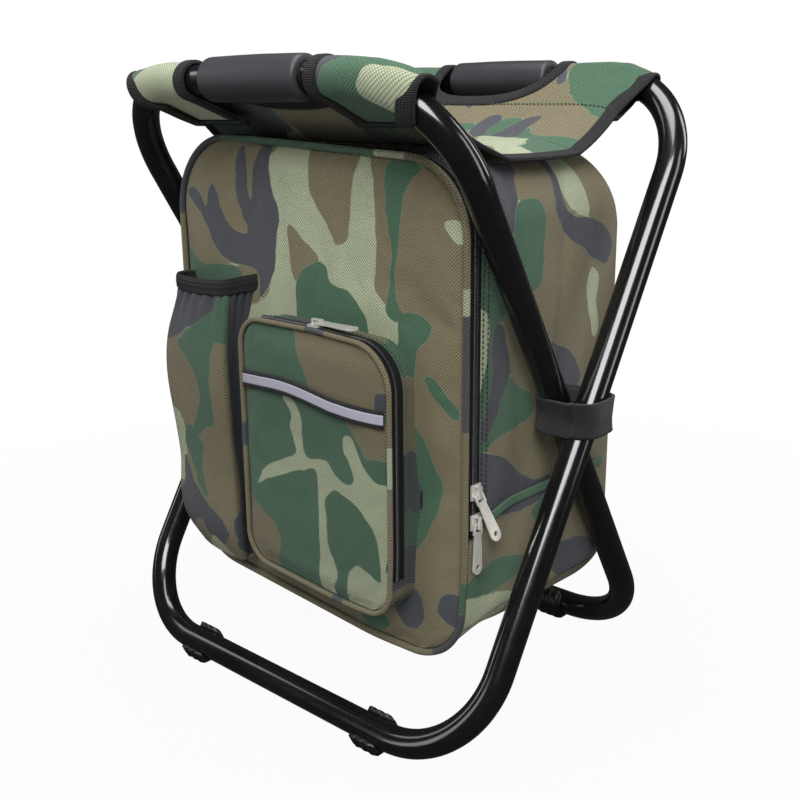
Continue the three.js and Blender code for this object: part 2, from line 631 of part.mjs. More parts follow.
function frameStrap(side) {
  const inner = strapPoints(0);
  const outer = strapPoints(STRAP_THICKNESS);
  const plan = new THREE.Shape();
  plan.moveTo(outer.bagSide, -outer.root);
  plan.lineTo(outer.bendX, -outer.half);
  plan.quadraticCurveTo(outer.outside, -outer.half, outer.outside, STRAP_CORNER - outer.half);
  plan.lineTo(outer.outside, outer.half - STRAP_CORNER);
  plan.quadraticCurveTo(outer.outside, outer.half, outer.bendX, outer.half);
  plan.lineTo(outer.bagSide, outer.root);
  plan.lineTo(inner.bagSide, inner.root);
  plan.lineTo(inner.bendX, inner.half);
  plan.quadraticCurveTo(inner.outside, inner.half, inner.outside, inner.half - STRAP_CORNER);
  plan.lineTo(inner.outside, STRAP_CORNER - inner.half);
  plan.quadraticCurveTo(inner.outside, -inner.half, inner.bendX, -inner.half);
  plan.lineTo(inner.bagSide, -inner.root);
  const bottom = PIVOT_HEIGHT - STRAP_WIDTH / 2;
  const strap = extrudeAlongZ(plan, bottom, bottom + STRAP_WIDTH, FINE_ARC_STEPS);
  return side > 0 ? strap : strap.rotateZ(Math.PI);
}

function slipPocket(side) {
  const edges = {
    left: BAG_SET_BACK - SLIP_POCKET_DEPTH / 2,
    right: BAG_SET_BACK + SLIP_POCKET_DEPTH / 2,
    bottom: SLIP_POCKET_BOTTOM,
    top: SLIP_POCKET_BOTTOM + SLIP_POCKET_HEIGHT,
  };
  const square = FABRIC;
  const radii = [square, square, SLIP_POCKET_RADIUS, SLIP_POCKET_RADIUS];
  const near = BAG_HALF_WIDTH + SEAM_GAP;
  const far = near + SLIP_POCKET_CLOTH;
  const shape = drawRoundedRect(new THREE.Shape(), edges, radii);
  return side > 0 ? extrudeAlongX(shape, near, far) : extrudeAlongX(shape, -far, -near);
}

// A sheet of even thickness over a grid: place(u, v) is its middle surface, with u and v from 0 to 1.
function clothSheet(place, uSteps, vSteps, thickness) {
  const step = 1e-3;
  const faces = { top: [], bottom: [] };
  for (let i = 0; i <= uSteps; i += 1) {
    for (let j = 0; j <= vSteps; j += 1) {
      const [u, v] = [i / uSteps, j / vSteps];
      const alongU = place(u + step, v).sub(place(u - step, v));
      const alongV = place(u, v + step).sub(place(u, v - step));
      const lift = alongU.cross(alongV).setLength(thickness / 2);
      faces.top.push(place(u, v).add(lift));
      faces.bottom.push(place(u, v).sub(lift));
    }
  }
  const points = [...faces.top, ...faces.bottom];
  const row = vSteps + 1;
  const under = faces.top.length;
  const index = [];
  const quad = (a, b, c, d) => index.push(a, b, c, a, c, d);
  for (let i = 0; i < uSteps; i += 1) {
    for (let j = 0; j < vSteps; j += 1) {
      const a = i * row + j;
      quad(a, a + row, a + row + 1, a + 1);
      quad(under + a, under + a + 1, under + a + row + 1, under + a + row);
    }
    const first = i * row;
    const last = first + vSteps;
    quad(under + first, under + first + row, first + row, first);
    quad(last, last + row, under + last + row, under + last);
  }
  for (let j = 0; j < vSteps; j += 1) {
    const end = uSteps * row + j;
    quad(j, j + 1, under + j + 1, under + j);
    quad(under + end, under + end + 1, end + 1, end);
  }
  const geometry = new THREE.BufferGeometry().setFromPoints(points);
  geometry.setIndex(index);
  geometry.computeVertexNormals();
  return geometry;
}

// Height of the seat's middle cloth: flat on the bag, falling a little towards its two side edges.
function seatHeight(x) {
  const flat = BAG_HALF_WIDTH - BAG_TOP_RADIUS;
  const past = Math.max(0, Math.abs(x) - flat) / (SEAT_HALF_WIDTH - flat);
  return BAG_TOP + SEAM_GAP + SEAT_CLOTH / 2 - SEAT_EDGE_DROP * past ** 2;
}

function seatMiddle() {
  const place = (u, v) => {
    const x = (2 * u - 1) * SEAT_HALF_WIDTH;
    return new THREE.Vector3(x, (v - 0.5) * SEAT_FLAT_DEPTH, seatHeight(x));
  };
  return clothSheet(place, SEAT_MIDDLE_STEPS, 1, SEAT_CLOTH);
}

// A sloping seat panel from the seat's middle up to a top bar, with a scallop behind the grip.
function seatSlope(halfWidth, way) {
  const barEnd = halfWidth - TOP_BEND_RADIUS;
  const legWay = new THREE.Vector3(0, way * Math.sin(LEAN), Math.cos(LEAN));
  const scallopHalf = SLEEVE_START + SCALLOP_MARGIN;
  const place = (u, v) => {
    const x = way * (1 - 2 * u) * SEAT_HALF_WIDTH;
    const bent = Math.min(1, Math.max(0, Math.abs(x) - barEnd) / TOP_BEND_RADIUS);
    const fall = TOP_BEND_RADIUS * (1 - Math.sqrt(1 - bent ** 2));
    const bar = legWay.clone().multiplyScalar(LEG_ABOVE_PIVOT - fall).add(new THREE.Vector3(x, 0, PIVOT_HEIGHT));
    const root = new THREE.Vector3(x, way * (SEAT_FLAT_DEPTH / 2 + SEAT_SEAM), seatHeight(x));
    const down = root.clone().sub(bar);
    const span = down.length();
    down.normalize();
    const sleeveReach = (SLEEVE_RADIUS + SEAT_SEAM) / Math.sqrt(1 - (down.dot(legWay) * bent) ** 2);
    const scallop = SCALLOP_DEPTH * Math.max(0, 1 - (x / scallopHalf) ** 2);
    const end = bar.clone().addScaledVector(down, Math.min(sleeveReach + scallop, span));
    const sag = SEAT_SAG * 4 * v * (1 - v);
    return root.lerp(end, v).sub(new THREE.Vector3(0, 0, sag));
  };
  return clothSheet(place, SEAT_SLOPE_STEPS, SEAT_SLOPE_ROWS, SEAT_CLOTH);
}

// Zip slider, with X outwards from the zip, Y across it and Z along it, and its plate's outer face at X = 0.
function zipSlider() {
  const plate = boxBetween(
    [-SLIDER_PLATE, -SLIDER_WIDTH / 2, -SLIDER_LENGTH / 2], [0, SLIDER_WIDTH / 2, SLIDER_LENGTH / 2]);
  const seat = SLIDER_PLATE / 2;
  const half = ARCH_LENGTH / 2;
  const room = half - ARCH_BAR;
  const arch = new THREE.Shape();
  arch.moveTo(-seat, -half);
  arch.lineTo(ARCH_ROOM + ARCH_BAR, -half);
  arch.lineTo(ARCH_ROOM + ARCH_BAR, half);
  arch.lineTo(-seat, half);
  const opening = new THREE.Path();
  opening.moveTo(0, -room);
  opening.lineTo(0, room);
  opening.lineTo(ARCH_ROOM, room);
  opening.lineTo(ARCH_ROOM, -room);
  arch.holes.push(opening);
  return join(plate, extrudeAlongY(arch, -ARCH_WIDTH / 2, ARCH_WIDTH / 2));
}

// Zip pull, hanging along -Z from its cross bar, whose axis is Y through the origin.
function zipPull() {
  const bar = PULL_THICKNESS / 2;
  const window = PULL_WINDOW_LENGTH + bar;
  const headEnd = -(window + PULL_THICKNESS);
  const tipRadius = PULL_TIP_WIDTH / 2;
  const tipCentre = tipRadius - PULL_LENGTH;
  const shape = new THREE.Shape();
  shape.moveTo(-PULL_HEAD_WIDTH / 2, bar);
  shape.lineTo(-PULL_HEAD_WIDTH / 2, headEnd);
  shape.lineTo(-PULL_NECK_WIDTH / 2, headEnd - PULL_THICKNESS);
  shape.lineTo(-tipRadius, tipCentre);
  shape.absarc(0, tipCentre, tipRadius, Math.PI, 2 * Math.PI);
  shape.lineTo(PULL_NECK_WIDTH / 2, headEnd - PULL_THICKNESS);
  shape.lineTo(PULL_HEAD_WIDTH / 2, headEnd);
  shape.lineTo(PULL_HEAD_WIDTH / 2, bar);
  const slot = new THREE.Path();
  slot.moveTo(-PULL_WINDOW_WIDTH / 2, -bar);
  slot.lineTo(PULL_WINDOW_WIDTH / 2, -bar);
  slot.lineTo(PULL_WINDOW_WIDTH / 2, -window);
  slot.lineTo(-PULL_WINDOW_WIDTH / 2, -window);
  const holeZ = PULL_HOLE_FROM_TIP - PULL_LENGTH;
  const hole = new THREE.Path().absarc(0, holeZ, PULL_HOLE_DIAMETER / 2, 0, 2 * Math.PI, true);
  shape.holes.push(slot, hole);
  return extrudeAlongX(shape, -bar, bar, FINE_ARC_STEPS);
}

const stool = new THREE.Group();

function addPart(parent, name, geometry, finish) {
  const mesh = new THREE.Mesh(geometry, new THREE.MeshStandardMaterial(FINISHES[finish]));
  mesh.name = name;
  parent.add(mesh);
  return mesh;
}

const SIDES = [['left', -1], ['right', 1]];

// The inner loop has its top bar at the front, the outer loop at the rear: each leans through the pivot.
function addFrame(label, footLabel, halfWidth, lean) {
  const loop = new THREE.Group();
  loop.position.z = PIVOT_HEIGHT;
  loop.rotation.x = lean;
  stool.add(loop);
  addPart(loop, `${label}_frame_tube`, frameLoop(halfWidth), 'blackTube');
  addPart(loop, `${label}_joint_plug`, jointPlug(), 'zinc');
  addPart(loop, `${label}_grip`, grip(), 'greyGrip');
  for (const [name, side] of SIDES) {
    addPart(loop, `${label}_sleeve_${name}`, sleeve(halfWidth, side), 'camoCloth');
    addPart(stool, `${footLabel}_foot_${name}`, foot(halfWidth, side, footLabel === 'front'), 'blackPlastic');
  }
}

function addPivots() {
  for (const [name, side] of SIDES) {
    addPart(stool, `pivot_rivet_${name}`, pivotRivet(side), 'zinc');
    addPart(stool, `pivot_washer_${name}`, pivotWasher(side), 'blackPlastic');
  }
}

function addBag() {
  const [edges, radii] = [BAG_EDGES, BAG_RADII];
  const foamInner = FOAM_INSET + FOAM;
  const liner = ringPiece(edges, radii, LINER_INSET, LINER_INSET + LINER, BODY_FRONT, WALL_LINER_REAR);
  addPart(stool, 'gusset_cover', gussetCover(), 'camoCloth');
  addPart(stool, 'back_cover', platePiece(edges, radii, 0, BACK_COVER_FRONT, BAG_REAR), 'camoCloth');
  addPart(stool, 'wall_foam', ringPiece(edges, radii, FOAM_INSET, foamInner, BODY_FRONT, WALL_FOAM_REAR), 'foam');
  addPart(stool, 'back_foam', platePiece(edges, radii, FOAM_INSET, BACK_FOAM_FRONT, BACK_FOAM_REAR), 'foam');
  addPart(stool, 'wall_liner', liner, 'foil');
  addPart(stool, 'back_liner', platePiece(edges, radii, LINER_INSET, BACK_LINER_FRONT, BACK_LINER_REAR), 'foil');
  addPart(stool, 'body_zip_tape', zipTape(BODY_TAPE_FRONT, BODY_TAPE_REAR, BODY_TAPE_FRONT), 'blackWebbing');
  for (const [name, side] of SIDES) {
    addPart(stool, `frame_strap_${name}`, frameStrap(side), 'blackWebbing');
    addPart(stool, `slip_pocket_${name}`, slipPocket(side), 'camoCloth');
  }
}

function addFrontPanel() {
  const [edges, radii] = [BAG_EDGES, BAG_RADII];
  const cover = platePiece(edges, radii, PANEL_COVER_INSET, BAG_FRONT, PANEL_COVER_REAR);
  const foam = platePiece(edges, radii, PANEL_COVER_INSET, PANEL_FOAM_FRONT, PANEL_FOAM_REAR);
  const liner = platePiece(edges, radii, PANEL_COVER_INSET, PANEL_LINER_FRONT, PANEL_LINER_REAR);
  const tape = zipTape(PANEL_TAPE_FRONT, PANEL_TAPE_REAR, PANEL_TAPE_REAR - COIL_WIDTH);
  addPart(stool, 'panel_cover', cover, 'camoCloth');
  addPart(stool, 'panel_foam', foam, 'foam');
  addPart(stool, 'panel_liner', liner, 'foil');
  addPart(stool, 'panel_piping', pipingLoop(edges, radii, PANEL_PIPING_DIAMETER, PIPING_Y), 'camoPiping');
  addPart(stool, 'panel_zip_tape', tape, 'blackWebbing');
}

function addPockets() {
  const [edges, radii] = [POCKET_EDGES, POCKET_RADII];
  const cover = platePiece(edges, radii, POCKET_COVER_INSET, POCKET_FRONT, POCKET_COVER_REAR);
  const piping = pipingLoop(edges, radii, POCKET_PIPING_DIAMETER, POCKET_PIPING_Y);
  addPart(stool, 'pocket_gusset', pocketGusset(), 'camoCloth');
  addPart(stool, 'pocket_cover', cover, 'camoCloth');
  addPart(stool, 'pocket_piping', piping, 'camoPiping');
  addPart(stool, 'pocket_zip_tape', pocketZipTape(), 'blackWebbing');
  addPart(stool, 'reflective_strip', reflectiveStrip(), 'reflective');
  const cup = bottleCup(BOTTLE_BOTTOM, BOTTLE_BOTTOM + BOTTLE_HEIGHT, FABRIC);
  addPart(stool, 'bottle_pocket', cup, 'camoCloth');
  addPart(stool, 'bottle_elastic', bottleElastic(), 'blackWebbing');
}

function addSeat() {
  addPart(stool, 'seat_middle', seatMiddle(), 'camoCloth');
  addPart(stool, 'seat_front_slope', seatSlope(INNER_HALF_WIDTH, -1), 'camoCloth');
  addPart(stool, 'seat_rear_slope', seatSlope(OUTER_HALF_WIDTH, 1), 'camoCloth');
}

// Each slider carries a pull whose cross bar lies under the slider's arch, with play to the arch's lower foot.
function addZipSlider(label, place, turnY, tiltDeg, leanDeg) {
  const slider = new THREE.Group();
  slider.position.copy(place);
  slider.rotation.y = turnY;
  stool.add(slider);
  addPart(slider, `${label}_slider`, zipSlider(), 'nickel');
  const pull = addPart(slider, `${label}_pull`, zipPull(), 'nickel');
  const hang = ARCH_ROOM / 2 + PULL_BAR_PLAY;
  pull.position.set(ARCH_ROOM / 2, 0, hang + ARCH_BAR - ARCH_LENGTH / 2);
  pull.rotation.set(THREE.MathUtils.degToRad(leanDeg), THREE.MathUtils.degToRad(-tiltDeg), 0);
}

function addZipSliders() {
  const ride = COIL_HEIGHT + RUNNING_GAP + SLIDER_PLATE;
  const lower = new THREE.Vector3(
    BAG_HALF_WIDTH + ride, ZIP_MIDDLE, ZIP_END_HEIGHT + LOWER_SLIDER_ABOVE_END);
  const upper = lower.clone().setZ(lower.z + SLIDER_SPACING);
  const pocket = new THREE.Vector3(
    POCKET_LEFT + POCKET_SLIDER_FROM_LEFT, POCKET_ZIP_MIDDLE, POCKET_TOP + ride);
  addZipSlider('lower', lower, 0, 0, 0);
  addZipSlider('upper', upper, 0, UPPER_PULL_TILT_DEG, UPPER_PULL_LEAN_DEG);
  addZipSlider('pocket', pocket, -Math.PI / 2, 0, 0);
}

addFrame('front', 'rear', INNER_HALF_WIDTH, LEAN);
addFrame('rear', 'front', OUTER_HALF_WIDTH, -LEAN);
addPivots();
addBag();
addFrontPanel();
addPockets();
addSeat();
addZipSliders();

export default stool;
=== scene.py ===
"""Looks of the folding cooler stool: its tubes, cloth, cords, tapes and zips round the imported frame.

Lengths are millimetres in the frame's axes until a mesh is made: X along the bars, -Y the front, +Z up.
"""

import itertools
import logging
from dataclasses import dataclass
from enum import Enum
from typing import Callable, Iterable, Optional

import bpy
import numpy as np
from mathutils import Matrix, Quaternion, Vector


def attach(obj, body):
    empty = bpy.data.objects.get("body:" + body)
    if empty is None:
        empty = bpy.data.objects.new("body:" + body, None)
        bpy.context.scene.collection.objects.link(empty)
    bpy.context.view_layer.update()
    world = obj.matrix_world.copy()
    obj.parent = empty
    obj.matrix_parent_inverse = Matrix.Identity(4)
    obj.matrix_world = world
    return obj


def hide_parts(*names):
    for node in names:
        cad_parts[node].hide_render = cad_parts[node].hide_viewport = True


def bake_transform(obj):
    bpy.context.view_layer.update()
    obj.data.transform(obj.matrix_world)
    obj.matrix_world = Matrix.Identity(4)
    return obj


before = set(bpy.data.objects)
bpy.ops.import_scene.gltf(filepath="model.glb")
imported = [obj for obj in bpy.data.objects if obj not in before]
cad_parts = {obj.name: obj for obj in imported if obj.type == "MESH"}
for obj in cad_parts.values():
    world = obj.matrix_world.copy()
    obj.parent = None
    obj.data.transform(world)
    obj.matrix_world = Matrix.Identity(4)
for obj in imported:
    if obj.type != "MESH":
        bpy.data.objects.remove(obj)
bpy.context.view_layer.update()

LOG = logging.getLogger("cooler_stool")
MM = 0.001
X_AXIS, Y_AXIS, Z_AXIS = np.eye(3)
Array = np.ndarray
Colour = tuple[float, float, float, float]
Piece = bpy.types.Object
Node = bpy.types.Node
Socket = bpy.types.NodeSocket


class Tone(Enum):
    """The four inks of the woodland print, each the name of its field on a mesh."""

    KHAKI = "khaki"
    BROWN = "brown"
    GREEN = "green"
    DARK = "dark"


KHAKI, BROWN, GREEN, DARK = Tone
OVERPRINT = (BROWN, GREEN, DARK)


class Signed(Enum):
    """One of two opposite places, with the sign of its axis."""

    @property
    def word(self) -> str:
        """The place's name in a node."""
        return self.name.lower()


class Side(Signed):
    """The two sides of the stool, each with the sign of its X."""

    LEFT = -1
    RIGHT = 1


class End(Signed):
    """The two top bars, each with the sign of its Y."""

    FRONT = -1
    REAR = 1


# Numbers on whole arrays

def unit(vectors: Array) -> Array:
    """Vectors scaled to length one."""
    return vectors / np.maximum(np.linalg.norm(vectors, axis=-1, keepdims=True), 1e-12)


def smooth(t: Array) -> Array:
    """A soft step from 0 to 1 as t goes from 0 to 1: three t squared less two t cubed."""
    t = np.clip(t, 0, 1)
    return t * t * (3 - 2 * t)


def arc_drop(t: Array) -> Array:
    """How far a unit circle lies below its top at t from there: one less the root of one less t squared."""
    return 1 - np.sqrt(1 - t**2)


def signed_power(values: Array, power: float) -> Array:
    """Values raised to a power, each with its own sign."""
    return np.sign(values) * np.abs(values) ** power


def joined(*parts: object) -> Array:
    """Values side by side on a new last axis, such as X, Y and Z, where a lone number goes with all."""
    return np.stack(np.broadcast_arrays(*parts), -1)


def heading(angle: Array) -> Array:
    """Unit vectors at angles: the cosine and the sine."""
    return joined(np.cos(angle), np.sin(angle))


def upright(flat: Array, y: float = 0.0) -> Array:
    """Rows of X and Z with one Y put in between."""
    return np.insert(flat, 1, y, axis=1)


def lattice_noise(points: Array, cell: float, seed: int) -> Array:
    """Smooth noise between -1 and 1.

    Random values sit on a cubic lattice, and each point takes the soft-stepped mix of its eight corners.

    Args:
        points: Places, in any shape that ends in 2 or 3.
        cell: The lattice's pitch.
        seed: The table's seed.

    Returns:
        One value for each point.
    """
    if points.shape[-1] == 2:
        points = np.concatenate([points, np.zeros(points.shape[:-1] + (1,))], -1)
    size = 32
    table = np.random.default_rng(seed).uniform(-1, 1, (size, size, size))
    base = np.floor(points / cell).astype(int)
    share = smooth(points / cell - base)
    total = np.zeros(points.shape[:-1])
    for corner in itertools.product((0, 1), repeat=3):
        weight = np.prod(np.where(np.array(corner, bool), share, 1 - share), axis=-1)
        x, y, z = np.moveaxis((base + corner) % size, -1, 0)
        total += weight * table[x, y, z]
    return total


def arc_lengths(path: Array) -> Array:
    """Length along a path of points at each of its points, from 0."""
    steps = np.linalg.norm(np.diff(path, axis=0), axis=-1)
    return np.concatenate([[0.0], np.cumsum(steps)])


def resample(path: Array, spacing: float) -> Array:
    """The same path with points an even spacing apart."""
    along = arc_lengths(path)
    count = max(2, int(round(along[-1] / spacing)) + 1)
    places = np.linspace(0, along[-1], count)
    return np.stack([np.interp(places, along, path[:, k]) for k in range(path.shape[1])], -1)


def tangents(path: Array) -> Array:
    """Unit direction of a path at each of its points."""
    return unit(np.gradient(path, axis=0))


def sweep(path: Array, side: Array, up: Array, profile: Array) -> Array:
    """Carry a profile along a path: each point is the path plus a times side plus b times up.

    Args:
        path: Stations, one row each.
        side: The profile's first axis, for all stations or at each.
        up: The profile's second axis, for all stations or at each.
        profile: Points (a, b), the same for all stations or one set for each.

    Returns:
        A grid of points, stations by profile points.
    """
    side, up = np.broadcast_to(side, path.shape), np.broadcast_to(up, path.shape)
    shape = np.broadcast_to(profile, (len(path),) + profile.shape[-2:])
    return path[:, None] + side[:, None] * shape[..., :1] + up[:, None] * shape[..., 1:]


def through(knots: Array, values: Array, at: Array) -> Array:
    """A smooth curve through values at rising knots: cubic spans whose end slopes come from the neighbours.

    Args:
        knots: Rising places of the values.
        values: One row for each knot.
        at: Places to read the curve at.

    Returns:
        One row for each place.
    """
    slopes = np.gradient(values, knots, axis=0)
    k = np.clip(np.searchsorted(knots, at, side="right") - 1, 0, len(knots) - 2)
    width = (knots[k + 1] - knots[k]).reshape((-1,) + (1,) * (values.ndim - 1))
    t = (at - knots[k]).reshape(width.shape) / width
    bend = t * (1 - t) * width * ((1 - t) * slopes[k] - t * slopes[k + 1])
    return values[k] + (values[k + 1] - values[k]) * smooth(t) + bend


def ring_profile(radius: float, sides: int) -> Array:
    """Points of a circle, the section of a tube or a cord."""
    return radius * heading(np.arange(sides) / sides * 2 * np.pi)


def tape_profile(width: float, thickness: float) -> Array:
    """Section of a flat tape: a superellipse of high power, wide on its first axis."""
    cos, sin = ring_profile(1.0, 20).T
    return joined(signed_power(cos, 0.35) * width / 2, signed_power(sin, 0.6) * thickness / 2)


# Meshes

def grid_uv(grid: Array, wrap_u: bool, wrap_v: bool) -> Array:
    """Lengths in metres across and along a grid, measured through its middle."""
    rows = np.concatenate([grid, grid[:1]]) if wrap_u else grid
    full = np.concatenate([rows, rows[:, :1]], 1) if wrap_v else rows
    along = arc_lengths(full[:, full.shape[1] // 2])
    across = arc_lengths(full[full.shape[0] // 2])
    return np.stack(np.meshgrid(across, along), -1) * MM


def build_surface(name: str, points: Array, *, wrap_u: bool = False, wrap_v: bool = False,
                  caps: bool = False, uv: Optional[Array] = None,
                  fields: Optional[dict[str, Array]] = None, flip: bool = False) -> Piece:
    """Put a grid of points, or a stack of like grids, into a mesh object.

    Args:
        name: The piece's name.
        points: Points in millimetres, shape (rows, columns, 3) or (copies, rows, columns, 3).
        wrap_u: The last row joins the first.
        wrap_v: The last column joins the first.
        caps: The first and last rows are closed by a face.
        uv: Flat places in metres, with one more row or column where the grid wraps.
        fields: Values by name, one for each point.
        flip: Turn the faces round.

    Returns:
        The object, at the origin.
    """
    grids = points.reshape((-1,) + points.shape[-3:])
    copies, rows, columns, _ = grids.shape
    i, j = np.indices((rows - (not wrap_u), columns - (not wrap_v))).reshape(2, -1, 1)
    row, column = i + np.array([0, 1, 1, 0]), j + np.array([0, 0, 1, 1])
    quads = (row % rows) * columns + column % columns
    flat = grid_uv(grids[0], wrap_u, wrap_v) if uv is None else uv
    corner_uv = flat[row, column]
    if flip:
        quads, corner_uv = quads[:, ::-1], corner_uv[:, ::-1]
    shift = np.arange(copies)[:, None, None] * (rows * columns)
    loops = [(quads + shift).ravel()]
    loop_uv = [np.tile(corner_uv.reshape(-1, 2), (copies, 1))]
    starts = [np.arange(copies * len(quads)) * 4]
    if caps:
        first = np.arange(columns)
        last = (rows - 1) * columns + first[::-1]
        ends = np.stack([first, last])
        ends = ends[:, ::-1] if flip else ends
        loops.append((ends + shift).ravel())
        loop_uv.append(np.zeros((copies * 2 * columns, 2)))
        starts.append(copies * len(quads) * 4 + np.arange(copies * 2) * columns)
    mesh = bpy.data.meshes.new(name)
    order = np.concatenate(loops).astype(np.int32)
    begin = np.concatenate(starts).astype(np.int32)
    mesh.vertices.add(copies * rows * columns)
    mesh.vertices.foreach_set("co", (grids * MM).astype(np.float32).ravel())
    mesh.loops.add(len(order))
    mesh.loops.foreach_set("vertex_index", order)
    mesh.polygons.add(len(begin))
    mesh.polygons.foreach_set("loop_start", begin)
    mesh.update(calc_edges=True)
    mesh.polygons.foreach_set("use_smooth", np.ones(len(begin), bool))
    layer = mesh.uv_layers.new(name="cloth")
    layer.data.foreach_set("uv", np.concatenate(loop_uv).astype(np.float32).ravel())
    for key, values in (fields or {}).items():
        attribute = mesh.attributes.new(key, "FLOAT", "POINT")
        attribute.data.foreach_set("value", np.asarray(values, np.float32).ravel())
    piece = bpy.data.objects.new(name, mesh)
    bpy.context.scene.collection.objects.link(piece)
    return piece


def build_swept(name: str, path: Array, side: Array, up: Array, profile: Array,
                closed: bool = False) -> Piece:
    """Carry a round or flat section along a path, with its faces outwards and its ends shut.

    Args:
        name: The piece's name.
        path: Stations, one row each.
        side: The section's first axis, for all stations or at each.
        up: The section's second axis, for all stations or at each.
        profile: Points of the section, anticlockwise.
        closed: The path comes back to its start.

    Returns:
        The object.
    """
    flip = float((np.cross(tangents(path), up) * side).sum()) < 0
    grid = sweep(path, side, up, profile)
    return build_surface(name, grid, wrap_u=closed, wrap_v=True, caps=not closed, flip=flip)


def faces_inwards(grid: Array, outward: Array) -> bool:
    """True where a grid's faces would look against the outward vectors."""
    normal = np.cross(np.gradient(grid, axis=0), np.gradient(grid, axis=1))
    return float((normal * outward).sum()) < 0


def thicken(piece: Piece, thickness: float, offset: float = -1.0) -> Piece:
    """Give an open sheet its cloth's thickness."""
    solid = piece.modifiers.new("cloth", "SOLIDIFY")
    solid.thickness = thickness * MM
    solid.offset = offset
    return piece


def stitch_row(name: str, path: Array, normal: Array, pitch: float = 3.4, length: float = 2.3,
               radius: float = 0.42) -> Piece:
    """A row of sewn stitches: small round dashes that dip into the cloth at both ends.

    Each dash is a tube along the path. Its centre rises by a half sine, and its radius is the root of one
    less the fourth power of the way from its middle.

    Args:
        name: The piece's name.
        path: The seam's line on the cloth.
        normal: The cloth's normal, for the whole path or at each point.
        pitch: Distance from one stitch to the next.
        length: Length of a stitch.
        radius: Half the thread's thickness.

    Returns:
        The piece.
    """
    line = resample(np.concatenate([path, np.broadcast_to(normal, path.shape)], 1), pitch)
    centre, up = line[:, :3], unit(line[:, 3:])
    ahead = tangents(centre)
    aside = unit(np.cross(ahead, up))
    t = np.linspace(0, 1, 6)[:, None]
    girth = np.sqrt(np.clip(1 - (2 * t - 1) ** 4, 0.04, 1)) * radius
    cos, sin = ring_profile(1.0, 6).T
    along = np.broadcast_to((t - 0.5) * length, (6, 6))
    across = girth * cos
    high = girth * sin + np.sin(np.pi * t) * radius - radius * 0.3
    spread = [part[None, ..., None] * axis[:, None, None] for part, axis in
              ((along, ahead), (across, aside), (high, up))]
    return build_surface(name, centre[:, None, None] + sum(spread), wrap_v=True, caps=True)


# The woodland print

@dataclass(frozen=True)
class Patch:
    """One printed shape: an ink and the points that its closed outline runs through."""

    tone: Tone
    points: tuple[tuple[float, float], ...]

    def outline(self, per_span: int = 6) -> Array:
        """A closed Catmull-Rom curve through the points."""
        p1 = np.array(self.points, float)
        p0, p2, p3 = np.roll(p1, 1, 0), np.roll(p1, -1, 0), np.roll(p1, -2, 0)
        t = (np.arange(per_span) / per_span)[None, :, None]
        a, b, c, d = (p[:, None] for p in (p0, p1, p2, p3))
        square, cube = 2 * a - 5 * b + 4 * c - d, 3 * b - a - 3 * c + d
        return (0.5 * (2 * b + (c - a) * t + square * t**2 + cube * t**3)).reshape(-1, 2)

    def depth(self, places: Array) -> Array:
        """How far each place lies inside the outline, negative outside.

        The distance is to the nearest of the outline's short chords, and its sign comes from counting the
        chords that a ray from the place crosses.
        """
        start = self.outline()
        end = np.roll(start, -1, 0)
        chord = end - start
        offset = places[:, None] - start
        share = np.clip((offset * chord).sum(-1) / np.maximum((chord**2).sum(-1), 1e-9), 0, 1)
        distance = np.linalg.norm(offset - share[..., None] * chord, axis=-1).min(1)
        above = (start[:, 1] > places[:, 1:]) != (end[:, 1] > places[:, 1:])
        rise = np.where(np.abs(chord[:, 1]) < 1e-9, 1e-9, chord[:, 1])
        crossing = start[:, 0] + (places[:, 1:] - start[:, 1]) / rise * chord[:, 0]
        inside = ((above & (places[:, :1] < crossing)).sum(1) % 2).astype(bool)
        return np.where(inside, distance, -distance)


@dataclass(frozen=True)
class WoodlandPrint:
    """A length of printed cloth: a ground ink, a seeded run of shapes or none, then the laid-out shapes."""

    ground: Tone
    patches: tuple[Patch, ...] = ()
    seed: Optional[int] = None
    wobble: float = 0.9
    wobble_cell: float = 7.0
    far: float = 60.0

    def fields(self, places: Array) -> dict[str, Array]:
        """Depth inside each ink at each place of the flat cloth, so that just one ink is positive there.

        Args:
            places: Flat places in millimetres.

        Returns:
            A field for each ink that is laid over the khaki.
        """
        flat = places.reshape(-1, 2)
        shift = joined(*(lattice_noise(flat, self.wobble_cell, seed) for seed in (5, 6)))
        shifted = flat + self.wobble * shift
        depth = {tone: np.full(len(flat), self.far if tone is self.ground else -self.far) for tone in Tone}
        shapes = [(patch.tone, patch.depth(shifted)) for patch in self.patches]
        if self.seed is not None:
            shapes = self.drift(flat) + shapes
        for tone, inside in shapes:
            for other in Tone:
                depth[other] = np.minimum(depth[other], -inside)
            depth[tone] = np.maximum(depth[tone], inside)
        return {tone.value: depth[tone] for tone in OVERPRINT}

    def drift(self, flat: Array) -> list[tuple[Tone, Array]]:
        """Shapes for cloth that isn't laid out one by one: warped noise, cut at a level for each ink."""
        bent = flat + 16 * joined(*(lattice_noise(flat, 38, self.seed + k) for k in (1, 2)))
        levels = ((BROWN, 62, 0.02, 34, (1.0, 0.62)), (GREEN, 52, -0.12, 30, (1.0, 0.62)),
                  (DARK, 44, -0.34, 24, (1.35, 0.7)))
        found = []
        for number, (tone, cell, level, reach, scale) in enumerate(levels):
            stretch = bent * scale
            wave = lattice_noise(stretch, cell, self.seed + 10 + number)
            wave = wave + 0.35 * lattice_noise(stretch, cell * 0.45, self.seed + 20 + number)
            found.append((tone, (wave + level) * reach))
        return found


